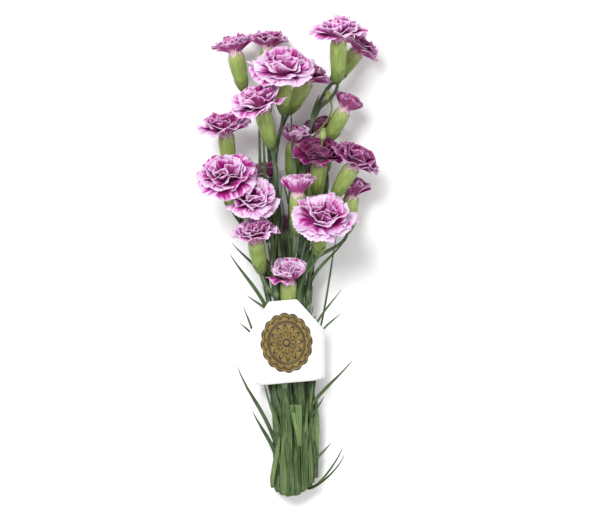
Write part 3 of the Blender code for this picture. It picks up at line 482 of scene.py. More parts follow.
@dataclass
class Balls:
    """All the balls that keep clear of each other: place, guard, give, and the numbers of spray and bloom."""

    where: Array
    guard: Array
    give: Array
    spray: Array
    head: Array

    def near_pairs(self) -> tuple[Array, Array]:
        """Finds the pairs of balls near enough to meet soon, leaving out those that are one piece.

        Returns:
            The two balls of each pair.
        """
        gap = np.linalg.norm(self.where[:, None] - self.where[None], axis=2)
        near = gap < self.guard[:, None] + self.guard[None] + SETTLING.near_margin
        near &= self.spray[:, None] != self.spray[None]
        near &= (self.head[:, None] != self.head[None]) | (self.head[:, None] < 0)
        return np.nonzero(np.triu(near, 1))

    def apart(self, pairs: tuple[Array, Array]) -> Array:
        """Works out the push on each ball from those that it is too near to.

        Args:
            pairs: The pairs to look at.

        Returns:
            The push on each ball.
        """
        a, b = pairs
        between = self.where[a] - self.where[b]
        gap = np.maximum(np.linalg.norm(between, axis=1), 0.01)
        short = self.guard[a] + self.guard[b] - gap
        hit = short > 0
        a, b, between, gap, short = a[hit], b[hit], between[hit], gap[hit], short[hit]
        way = between / gap[:, None] * short[:, None]
        share = (self.give[a] / (self.give[a] + self.give[b]))[:, None]
        push, hits = np.zeros_like(self.where), np.zeros(len(self.where))
        for index, force in ((a, way * share), (b, -way * (1 - share))):
            for axis in range(3):
                push[:, axis] += np.bincount(index, force[:, axis], len(push))
            hits += np.bincount(index, minlength=len(push))
        return push / np.maximum(1.0, hits * SETTLING.crowd_damping)[:, None]


class Bunch:
    """Every stem, leaf and bloom of the bunch, first drawn and then settled clear of each other."""

    def __init__(self) -> None:
        """Draws the bunch as planned."""
        self.heads = [Head(bloom) for bloom in BLOOMS]
        self.mains: dict[str, Rope] = {}
        self.sides: list[Rope] = []
        self.leaves: list[Rope] = []
        for index, spray in enumerate(spray_names()):
            heads = [head for head in self.heads if head.bloom.spray == spray]
            main = self.draw_main_stem(heads, index)
            self.mains[spray] = main
            self.sides += [self.draw_side_stem(main, head) for head in heads if head is not main.head]
            self.leaves += self.close_leaves(main, index)
        self.leaves += [self.draw_leaf(leaf, self.mains[leaf.spray]) for leaf in FREE_LEAVES]
        self.ropes = [*self.mains.values(), *self.sides, *self.leaves]

    def draw_main_stem(self, heads: list[Head], index: int) -> Rope:
        """Draws a main stem from its cut end through the waist to its highest bloom.

        Args:
            heads: The spray's blooms.
            index: The spray's number.

        Returns:
            The stem.
        """
        x = np.mean([head.drawn[0] for head in heads])
        z = np.mean([head.drawn[2] for head in heads]) - SIZES.head_middle_z
        across, deep = SIZES.waist_spread
        waist = np.array([x * across, SIZES.waist_y, axis_z(SIZES.waist_y) + z * deep])
        foot_x = waist[0] * SIZES.foot_narrowing
        foot_y = SIZES.foot_rounding * foot_x**2 + SIZES.stem_end_step * (index % SIZES.stem_end_steps)
        foot = np.array([foot_x + SIZES.foot_shift, foot_y, axis_z(foot_y) + z * deep])
        top = max(heads, key=lambda head: head.base[1])
        lower = hermite(foot, (0, 1, SIZES.axis_rise), waist, waist - foot, SIZES.stem_step)
        upper = hermite(waist, waist - foot, top.base, top.lean, SIZES.stem_step)
        guard = SIZES.stem_radius + SIZES.stem_clearance
        return Rope(np.vstack([lower, upper[1:]]), guard, top.bloom.spray, SETTLING.stem_give, head=top)

    def draw_side_stem(self, main: Rope, head: Head) -> Rope:
        """Draws a side stem from the main stem to a lower bloom.

        Args:
            main: The main stem.
            head: The bloom.

        Returns:
            The side stem.
        """
        at = main.at_height(min(head.base[1] - SIZES.side_stem_drop, main.drawn[-6, 1]))
        route = hermite(main.drawn[at], main.way_at(at), head.base, head.lean, SIZES.stem_step)
        guard = SIZES.side_stem_radius + SIZES.stem_clearance
        return Rope(route, guard, main.spray, SETTLING.side_stem_give, (main, at), head)

    def draw_leaf(self, leaf: LeafPlan, main: Rope) -> Rope:
        """Draws a leaf that starts up its stem and bends over to its tip.

        Args:
            leaf: The leaf's plan.
            main: The stem that carries it.

        Returns:
            The leaf.
        """
        at = main.at_height(leaf.root)
        root, tip, way = main.drawn[at], np.array(leaf.tip, float), main.way_at(at)
        route = hermite(root, way, tip, tip - root - SIZES.leaf_tip_bend * way, SIZES.leaf_step)
        return Rope(
            route,
            max(SIZES.leaf_guard, leaf.half_width),
            leaf.spray,
            SETTLING.leaf_give,
            root=(main, at),
            outside=leaf.outside,
            half_width=leaf.half_width,
            segments=SIZES.leaf_segments,
        )

    def close_leaves(self, main: Rope, index: int) -> list[Rope]:
        """Draws the leaves that lie along one stem, pointing out of the bunch.

        Args:
            main: The spray's main stem.
            index: The spray's number.

        Returns:
            The leaves.
        """
        waist = main.drawn[main.at_height(SIZES.waist_y)]
        from_middle = (waist[0], waist[2] - axis_z(SIZES.waist_y))
        if math.hypot(*from_middle) < SIZES.crowded_core:
            return []
        leaves = []
        for joints, length, spread in (
            (SIZES.joints_low, SIZES.low_leaf_length, SIZES.low_leaf_spread),
            (SIZES.joints_high, SIZES.high_leaf_length, SIZES.high_leaf_spread),
        ):
            for order, joint in enumerate(joints):
                height = joint + SIZES.joint_stagger * (index % 4)
                if height > main.drawn[-8, 1]:
                    continue
                side = 1 if (order + index) % 2 else -1
                angle = math.atan2(from_middle[1], from_middle[0]) + side * SIZES.leaf_fan
                reach = length * SIZES.leaf_reaches[(order * 5 + index * 3) % len(SIZES.leaf_reaches)]
                end = min(main.at_height(height) + round(reach / SIZES.stem_step), len(main.drawn) - 1)
                tip = main.drawn[end] + np.array([math.cos(angle), 0, math.sin(angle)]) * spread
                leaves.append(self.draw_leaf(LeafPlan(main.spray, height, tuple(tip)), main))
        return leaves

    def balls(self) -> Balls:
        """Gathers all the balls, rope by rope and then bloom by bloom.

        Returns:
            The balls.
        """
        names, rows = spray_names(), []
        for rope in self.ropes:
            rows.append((rope.points, rope.guard, rope.give, names.index(rope.spray), -1))
        for number, head in enumerate(self.heads):
            spray = np.where(head.is_petal, -2 - number, names.index(head.bloom.spray))
            guard = head.guards + SIZES.stem_clearance
            rows.append((head.mouth + head.offsets, guard, SETTLING.head_give, spray, number))
        columns = [[row[0] for row in rows]]
        for k in range(1, 5):
            columns.append([np.broadcast_to(row[k], len(row[0])) for row in rows])
        return Balls(*(np.concatenate(column) for column in columns))

    def settle(self) -> None:
        """Moves stems, leaves and blooms apart until they are clear of each other."""
        for step in range(SETTLING.rounds):
            progress = step / SETTLING.rounds
            balls = self.balls()
            if step % SETTLING.renew == 0:
                pairs = balls.near_pairs()
            self.share_out(balls.apart(pairs), progress)
            self.draw_together(1 - progress)
            self.keep_bounds()

    def share_out(self, push: Array, progress: float) -> None:
        """Passes each push on along its rope, or to the whole of its bloom.

        Args:
            push: The push on each ball.
            progress: How far the settling has come, from 0 to 1.
        """
        start = 0
        memory = SETTLING.shape_memory * (1 - progress)
        for rope in self.ropes:
            count = len(rope.drawn)
            rope.moved += push[start : start + count]
            start += count
            self.ease(rope, memory)
        for head in self.heads:
            count = len(head.guards)
            head.moved += push[start : start + count].sum(axis=0) * SETTLING.head_ease
            head.moved *= 1 - SETTLING.head_memory * memory
            start += count

    def ease(self, rope: Rope, memory: float) -> None:
        """Evens out a rope's movement and ties its ends to what carries them.

        Args:
            rope: The rope.
            memory: How strongly it goes back to its drawn shape.
        """
        root = np.zeros(3)
        if rope.root:
            carrier, at = rope.root
            root = carrier.moved[at]
            rope.moved[0] = root
        if rope.head:
            rope.moved[-2:] = rope.head.moved
        for _ in range(SETTLING.evening_rounds):
            even = (rope.moved[:-2] + rope.moved[2:]) / 2
            rope.moved[1:-1] += SETTLING.evening * (even - rope.moved[1:-1])
        if not rope.head:
            rope.moved[-1] += SETTLING.end_ease * (rope.moved[-2] - rope.moved[-1])
        if not rope.root:
            rope.moved[0] += SETTLING.end_ease * (rope.moved[1] - rope.moved[0])
            rope.moved[0, 1] = 0
        rope.moved += memory * (root - rope.moved)

    def draw_together(self, strength: float) -> None:
        """Draws the stems together where the tie holds them.

        Args:
            strength: How hard, from 0 to 1.
        """
        frame = np.array(band_frame())
        for rope in self.mains.values():
            local = (rope.points - frame[:3, 3]) @ frame[:3, :3]
            held = smooth(1 - np.abs(local[:, 1]) / SIZES.tie_pull_reach)
            local[:, 1] = 0
            rope.moved -= SIZES.tie_pull * strength * held[:, None] * local @ frame[:3, :3].T

    def keep_bounds(self) -> None:
        """Keeps ropes off the surface and, at the band and the tie, inside or outside them."""
        frame = np.array(band_frame())
        clearance = SIZES.stem_clearance
        for rope in self.ropes:
            low = rope.guard - clearance + SETTLING.floor_margin - rope.points[:, 2]
            rope.moved[:, 2] += np.maximum(low, 0)
            local = (rope.points - frame[:3, 3]) @ frame[:3, :3]
            rope.moved += self.back_inside(rope, local) @ frame[:3, :3].T
        calyx_count = len(SETTLING.calyx_balls)
        for head in self.heads:
            calyx_low = head.mouth[2] + head.offsets[1:calyx_count, 2].min()
            head.moved[2] += max(SETTLING.head_floor - calyx_low, 0)
            local = (head.mouth + head.offsets - frame[:3, 3]) @ frame[:3, :3]
            edge = SIZES.band_front_height / 2 + SETTLING.head_edge * head.guards
            inside = (local[:, 1] < edge) & ~head.is_petal
            room = SIZES.band_half_depth - SIZES.band_wall - clearance - head.guards
            over = np.where(inside, local[:, 2] - room, 0).max()
            head.moved -= frame[:3, 2] * max(over, 0)

    def back_inside(self, rope: Rope, local: Array) -> Array:
        """Finds the way back to the allowed side of the band's wall.

        Args:
            rope: The rope.
            local: Its points in the band's frame.

        Returns:
            The way back for each point, in the band's frame.
        """
        back = np.zeros_like(local)
        x, y, z = local.T
        half_height = SIZES.band_front_height / 2
        below, above = SETTLING.band_margins
        at_band = (y > -half_height - below) & (y < half_height + above)
        if rope.outside:
            short = SIZES.band_half_width + rope.guard + SETTLING.outside_margin - np.abs(x)
            back[:, 0] = np.where(at_band, np.maximum(short, 0) * np.sign(x), 0)
            return back
        tie = np.abs(y) < SIZES.tie_height / 2 + SETTLING.tie_margin
        narrow = SIZES.band_half_width * (1 - SIZES.band_taper) - SIZES.band_wall
        width = np.where(tie, SIZES.tie_half_width - SIZES.tie_wall, narrow) - rope.guard
        deep = SIZES.band_half_depth - SIZES.band_wall
        depth = np.where(tie, SIZES.tie_half_depth - SIZES.tie_wall, deep) - rope.guard
        flat = np.clip(np.abs(x) - (width - depth), 0, None)
        reach = np.hypot(flat, z)
        shrink = np.where(reach > depth, depth / np.maximum(reach, 1e-6), 1.0)
        new_x = (np.minimum(np.abs(x), width - depth) + flat * shrink) * np.sign(x)
        back[:, 0] = np.where(at_band & (shrink < 1), new_x - x, 0)
        back[:, 2] = np.where(at_band, z * (shrink - 1), 0)
        return back


@dataclass(frozen=True)
class Petal:
    """One petal: its turn round the bloom, how far it opens, its length, width, curl, wave and its cup.

    The root is its start's distance from the bloom's axis and height above the calyx's mouth. The share
    is the part of a full turn that it may fill.
    """

    turn: float
    opening: float
    length: float
    width: float
    curl: float
    wave: float
    cup: float
    root: Pair
    grid: tuple[int, int]
    share: float


def petal_bend(opening: float, u: Array) -> Array:
    """Gives the angle between petal and bloom axis: a rising claw that fans out at its end.

    Args:
        opening: The angle at the petal's edge, in degrees.
        u: How far along the petal.

    Returns:
        The angle there, in degrees.
    """
    claw = PETALS.claw_share * opening
    rising = PETALS.start_angle + (claw - PETALS.start_angle) * smooth(u / PETALS.claw_end)
    return rising + (opening - claw) * smooth((u - PETALS.claw_end) / (1 - PETALS.claw_end))


def petal_span(bloom: BloomPlan) -> Pair:
    """Measures an outer petal of length one.

    Args:
        bloom: The bloom that it belongs to.

    Returns:
        How far out and how far up it reaches.
    """
    u = np.linspace(0, 1, PETALS.fine_steps)
    bend = np.radians(petal_bend(PETALS.outer_opening * bloom.openness, u))
    return np.sin(bend).mean(), np.cos(bend).mean()


def bloom_length(bloom: BloomPlan) -> float:
    """Gives the length with which a bloom's outer petals reach as far out as the bloom does."""
    return (bloom.reach - PETALS.root[0]) / petal_span(bloom)[0]


def bloom_height(bloom: BloomPlan) -> float:
    """Gives how high a bloom's outer petals stand above the calyx's mouth."""
    return PETALS.root[1] + bloom_length(bloom) * petal_span(bloom)[1]


def petal_surface(petal: Petal, u: Array, v: Array, lift: Array | float = 0.0) -> Array:
    """Draws a petal's middle surface in the bloom's frame, whose +Z is the bloom's axis.

    Args:
        petal: The petal.
        u: From claw to edge.
        v: From side to side.
        lift: How far each place is raised on top of the petal's own wave.

    Returns:
        The surface's points.
    """
    fine = np.linspace(0, 1, PETALS.fine_steps)
    curl = petal.curl * np.clip((fine - PETALS.curl_start) / (1 - PETALS.curl_start), 0, 1) ** 2
    bend = np.radians(petal_bend(petal.opening, fine) + curl)
    step = petal.length / (len(fine) - 1)
    radial = petal.root[0] + np.concatenate([[0], np.cumsum(np.sin(bend[1:]) * step)])
    height = petal.root[1] + np.concatenate([[0], np.cumsum(np.cos(bend[1:]) * step)])
    along = u * (1 - PETALS.edge_rounding * v * v)
    tilt = np.interp(along, fine, bend)
    start, span = PETALS.flare
    widening = PETALS.claw_width + (1 - PETALS.claw_width) * smooth((along - start) / span)
    half = petal.width / 2 * widening
    rise = petal.wave * along**2 * np.cos(2 * math.pi * v) + petal.cup * along * v * v * half + lift
    r = np.interp(along, fine, radial) - np.cos(tilt) * rise
    h = np.interp(along, fine, height) + np.sin(tilt) * rise
    across = v * half
    x = r * math.cos(petal.turn) - across * math.sin(petal.turn)
    y = r * math.sin(petal.turn) + across * math.cos(petal.turn)
    return np.stack([x, y, h], axis=-1)


class Crowd:
    """Balls that petals have to stay clear of, apart from those of their own bloom."""

    def __init__(self, bunch: Bunch) -> None:
        """Takes every stem, leaf, calyx and bundle of claws.

        Args:
            bunch: The settled bunch.
        """
        self.balls: list[tuple[Array, float, Optional[str]]] = []
        for rope in bunch.ropes:
            fine = denser(rope.route(), 8)
            self.add(fine, np.full(len(fine), rope.guard - 0.2))
        for head in bunch.heads:
            self.add_head(head)
        self.refresh()

    def add_head(self, head: Head) -> None:
        """Adds the balls of one calyx and of its bloom's claws.

        Args:
            head: The bloom's head.
        """
        shares = np.linspace(0.2, 0.9, 7)
        profile = (*SIZES.calyx_profile, (1.0, SIZES.calyx_mouth))
        heights = (shares - 1) * head.bloom.calyx
        radii = np.interp(shares, *zip(*profile)) + 0.2
        self.add(head.mouth + heights[:, None] * head.lean, radii)
        share, of_reach, least = SIZES.claw_shoulder
        heights = np.linspace(0, share, 5) * bloom_height(head.bloom)
        radii = np.linspace(SIZES.cup_radius, least + of_reach * head.bloom.reach, len(heights))
        self.add(head.mouth + heights[:, None] * head.lean, radii, head.bloom.name)

    def add(self, places: Array, guards: Array, owner: Optional[str] = None) -> None:
        """Adds the balls of one more piece, which may belong to a bloom."""
        self.balls += [(place, guard, owner) for place, guard in zip(places, guards)]

    def refresh(self) -> None:
        """Sorts the balls for the search."""
        self.widest = max(guard for _, guard, _ in self.balls)
        self.tree = kdtree.KDTree(len(self.balls))
        for index, ball in enumerate(self.balls):
            self.tree.insert(ball[0], index)
        self.tree.balance()

    def touches(self, places: Array, guard: float, owner: str) -> bool:
        """Tells whether any of these places is too near to a ball that isn't the owner's.

        Args:
            places: The places to test.
            guard: How much room each needs.
            owner: The bloom that they belong to.

        Returns:
            Whether one is too near.
        """
        for place in places:
            for _, index, gap in self.tree.find_range(place, self.widest + guard):
                _, other_guard, other = self.balls[index]
                if gap < other_guard + guard and other != owner:
                    return True
        return False


class BloomFitter:
    """Draws each bloom's petals and opens them as far as their neighbours let them."""

    def __init__(self, bunch: Bunch) -> None:
        """Takes the settled bunch."""
        self.bunch = bunch
        self.crowd = Crowd(bunch)

    def drawn(self, bloom: BloomPlan, number: int) -> list[Petal]:
        """Draws a bloom's petals before they are fitted.

        Args:
            bloom: The bloom.
            number: Its number, which seeds the draws.

        Returns:
            An outer ring that opens wide and an inner one that stands.
        """
        p, draw = PETALS, np.random.default_rng(PETALS.seed + number)
        inner = 1 + int(bloom.reach > p.half_reach) + int(bloom.reach > p.full_reach)
        length = bloom_length(bloom)
        petals = []
        for count, opening, (long, wide), shift, root, grid in (
            (p.outer_count, p.outer_opening, p.outer_size, 0.0, p.root, p.outer_grid),
            (inner, p.inner_opening, p.inner_size, p.inner_shift, p.inner_root, p.inner_grid),
        ):
            for place in range(count):
                off = shift + draw.uniform(-p.turn_spread, p.turn_spread)
                petal = Petal(
                    turn=2 * math.pi * (place + off) / count + number,
                    opening=opening * bloom.openness + draw.uniform(-p.opening_spread, p.opening_spread),
                    length=length * long * draw.uniform(*p.length_range),
                    width=bloom.reach * wide * draw.uniform(*p.width_range),
                    curl=draw.uniform(*p.curl_range) * bloom.openness,
                    wave=bloom.reach * draw.uniform(*p.wave_range) * draw.choice([-1, 1]),
                    cup=draw.uniform(*p.cup_range),
                    root=root,
                    grid=grid,
                    share=2 * math.pi / max(count, 3),
                )
                petals.append(petal)
        return petals

    def spots(self, petal: Petal, frame: Matrix) -> Array:
        """Spreads points over a petal's coarse faces, all but those of its sunken root.

        Args:
            petal: The petal.
            frame: Its bloom's place.

        Returns:
            The points in the layout.
        """
        rows, columns = petal.grid
        along, across = np.linspace(0, 1, rows + 1), np.linspace(-1, 1, columns + 1)
        u, v = np.meshgrid(along, across, indexing="ij")
        grid = to_world(frame, petal_surface(petal, u, v))
        grid[1:, :, 2] = np.maximum(grid[1:, :, 2], PETALS.floor)
        wide = np.stack([denser(row) for row in grid])
        fine = np.stack([denser(column) for column in wide.transpose(1, 0, 2)])
        return fine[:, 2:].reshape(-1, 3)

    def fit_petal(self, petal: Petal, frame: Matrix, owner: str) -> Petal:
        """Opens a petal as far as its neighbours let it, shorter where it has to be.

        Args:
            petal: The petal as drawn.
            frame: Its bloom's place.
            owner: Its bloom's name.

        Returns:
            The fitted petal, which joins the crowd, or a short closed one where none finds room.
        """
        for size in PETALS.fit_sizes:
            for close in PETALS.fit_openings:
                trial = replace(
                    petal,
                    opening=petal.opening * close,
                    curl=petal.curl * close,
                    length=petal.length * size,
                    width=petal.width * (0.5 + 0.5 * size),
                )
                edge = math.hypot(*petal_surface(trial, np.array(1.0), np.array(0.0))[:2])
                trial = replace(trial, width=min(trial.width, PETALS.cover * edge * trial.share))
                places = self.spots(trial, frame)
                if not self.crowd.touches(places, SIZES.petal_clearance, owner):
                    self.crowd.add(places, np.full(len(places), SIZES.petal_clearance), owner)
                    return trial
        return replace(trial, curl=0.0, width=petal.width * 0.5)

    def fit(self) -> dict[str, list[Petal]]:
        """Fits every bloom, the nearest to the viewer first.

        Returns:
            Each bloom's petals, outer ring first.
        """
        fitted: dict[str, list[Petal]] = {}
        order = sorted(enumerate(self.bunch.heads), key=lambda pair: -pair[1].mouth[2])
        for number, head in order:
            name, frame = head.bloom.name, head.frame()
            self.crowd.refresh()
            fitted[name] = [self.fit_petal(petal, frame, name) for petal in self.drawn(head.bloom, number)]
        return fitted


@dataclass
class Skin:
    """The points, faces and per-point values of one piece, gathered shape by shape."""

    points: list[Array] = field(default_factory=list)
    faces: list[list[int]] = field(default_factory=list)
    slots: list[int] = field(default_factory=list)
    place: list[Array] = field(default_factory=list)
    look: list[Array] = field(default_factory=list)
    count: int = 0

    def add(
        self, points: Array, faces: Faces, place: Array, look: Sequence[float] | Array, slot: int = 0
    ) -> None:
        """Adds one shape.

        Args:
            points: Its points in the layout.
            faces: Its faces, counted from its own first point.
            place: Where each point lies on the shape: along, across and a third value.
            look: Three values for its look, for each point or for all of them.
            slot: Its material slot.
        """
        points = points.reshape(-1, 3)
        self.points.append(points)
        self.faces += [[index + self.count for index in face] for face in faces]
        self.slots += [slot] * len(faces)
        self.place.append(place.reshape(-1, 3))
        self.look.append(np.broadcast_to(np.asarray(look, float), points.shape))
        self.count += len(points)

    def add_sheet(
        self, grid: Array, thickness: float, place: Array, under: float, look: Sequence[float], slot: int = 0
    ) -> None:
        """Adds a closed thin sheet about a middle surface.

        Args:
            grid: The surface's rows of points.
            thickness: The sheet's thickness.
            place: Where each point lies on the sheet.
            under: What is added to the third value on the sheet's lower face.
            look: Three values for its look.
            slot: Its material slot.
        """
        rows, columns = grid.shape[:2]
        normal = np.cross(np.gradient(grid, axis=0), np.gradient(grid, axis=1))
        normal /= np.maximum(np.linalg.norm(normal, axis=2, keepdims=True), 1e-9)
        points = np.concatenate([grid + normal * thickness / 2, grid - normal * thickness / 2])
        rim = list(range(columns))
        rim += [i * columns + columns - 1 for i in range(1, rows)]
        rim += [(rows - 1) * columns + j for j in range(columns - 2, -1, -1)]
        rim += [i * columns for i in range(rows - 2, 0, -1)]
        faces = both_sides(rows, columns)
        count = rows * columns
        for here, there in zip(rim, rim[1:] + rim[:1]):
            faces.append([there, here, count + here, count + there])
        self.add(points, faces, np.stack([place, place + (0, 0, under)]), look, slot)

    def add_tube(self, grid: Array, place: Array, look: Sequence[float] | Array, slot: int = 0) -> None:
        """Adds a tube with both ends closed.

        Args:
            grid: Its rings of points.
            place: Where each point lies on the tube.
            look: Three values for its look, for each point or for all of them.
            slot: Its material slot.
        """
        rows, around = grid.shape[:2]
        faces = grid_faces(rows, around, True)
        faces += [list(range(around))[::-1], [(rows - 1) * around + k for k in range(around)]]
        self.add(grid, faces, place, look, slot)

    def build(self, name: str, materials: Sequence[Material]) -> Piece:
        """Makes the piece and lets it ride on the bunch's body.

        Args:
            name: The piece's name.
            materials: Its materials, in the order of its slots.

        Returns:
            The piece.
        """
        where = (np.vstack(self.points) + layout_shift()) * MM
        mesh = bpy.data.meshes.new(name)
        mesh.from_pydata(where.tolist(), [], self.faces)
        for label, values in (("place", self.place), ("look", self.look)):
            layer = mesh.attributes.new(label, "FLOAT_VECTOR", "POINT")
            layer.data.foreach_set("vector", np.vstack(values).astype(np.float32).ravel())
        for material in materials:
            mesh.materials.append(material)
        mesh.polygons.foreach_set("material_index", self.slots)
        mesh.polygons.foreach_set("use_smooth", [True] * len(self.faces))
        mesh.update()
        piece = bpy.data.objects.new(name, mesh)
        bpy.context.scene.collection.objects.link(piece)
        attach(piece, BODY)
        return piece


def layout_shift() -> Array:
    """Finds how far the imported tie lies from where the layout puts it, in millimetres."""
    low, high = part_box("elastic_tie")
    return (np.array(low) + np.array(high)) / 2 / MM - np.array(band_frame().translation)


def grid_faces(rows: int, columns: int, around: bool = False) -> Faces:
    """Lists the faces of a grid of points.

    Args:
        rows: How many rows of points.
        columns: How many points in a row.
        around: Whether each row closes to a ring.

    Returns:
        The faces.
    """
    faces = []
    for i in range(rows - 1):
        here, above = i * columns, (i + 1) * columns
        for j in range(columns if around else columns - 1):
            after = (j + 1) % columns
            faces.append([here + j, here + after, above + after, above + j])
    return faces


def both_sides(rows: int, columns: int, around: bool = False) -> Faces:
    """Lists the faces of a grid and, turned over, those of a second grid that follows it.

    Args:
        rows: How many rows of points each has.
        columns: How many points in a row.
        around: Whether each row closes to a ring.

    Returns:
        The faces.
    """
    front, count = grid_faces(rows, columns, around), rows * columns
    return front + [[count + index for index in reversed(face)] for face in front]


def placed(
    shape: tuple[int, ...], along: Array | float, across: Array | float, third: Array | float
) -> Array:
    """Spreads the three values that tell where each point lies over a grid of a given shape."""
    return np.stack([np.broadcast_to(value, shape) for value in (along, across, third)], axis=-1)


def round_the_axis(radius: Array | float, angle: Array, height: Array | float) -> Array:
    """Turns radii, angles and heights into points about the Z axis."""
    x, y = radius * np.cos(angle), radius * np.sin(angle)
    return np.stack([x, y, np.broadcast_to(height, x.shape)], axis=-1)


def turns(count: int) -> Array:
    """Lists evenly spaced angles of a full turn."""
    return np.arange(count) / count * 2 * math.pi


def steady_sides(route: Array) -> tuple[Array, Array]:
    """Finds a steady cross section along a route.

    Args:
        route: The route's points.

    Returns:
        The side and the up direction at each point.
    """
    ways = np.gradient(route, axis=0)
    ways /= np.linalg.norm(ways, axis=1, keepdims=True)
    side = unit(np.cross(ways[0], (0.3, 0.1, 1.0)))
    sides, ups = [], []
    for way in ways:
        side = unit(side - way * (side @ way))
        sides.append(side)
        ups.append(np.cross(way, side))
    return np.array(sides), np.array(ups)


def tube_grid(route: Array, radii: Array, angle: Array) -> Array:
    """Draws the rings of a tube.

    Args:
        route: The points along its middle.
        radii: Its radius at each of them.
        angle: The angles of a ring's points.

    Returns:
        The rings of points.
    """
    sides, ups = steady_sides(route)
    ring = np.cos(angle)[None, :, None] * sides[:, None] + np.sin(angle)[None, :, None] * ups[:, None]
    return route[:, None] + radii[:, None, None] * ring


def smooth_route(points: Array, parts: int) -> Array:
    """Rounds a route off and puts more points on it.

    Args:
        points: The route's points.
        parts: How many steps each of its steps becomes.

    Returns:
        The smooth route, with the same ends.
    """
    before = np.vstack([2 * points[0] - points[1], points, 2 * points[-1] - points[-2]])
    out = []
    for i in range(1, len(before) - 2):
        p0, p1, p2, p3 = before[i - 1 : i + 3]
        bend, twist = 2 * p0 - 5 * p1 + 4 * p2 - p3, 3 * p1 - p0 - 3 * p2 + p3
        for t in np.arange(parts) / parts:
            out.append(0.5 * (2 * p1 + (p2 - p0) * t + bend * t * t + twist * t**3))
    return np.array([*out, points[-1]])


@dataclass(frozen=True)
class PetalRing:
    """One ring of a bloom's visible petals: all but the count, ruffle, curl and shift are shares."""

    count: int
    opening: float
    length: float
    width: float
    cup: float
    ruffle: float
    curl: float
    shift: float


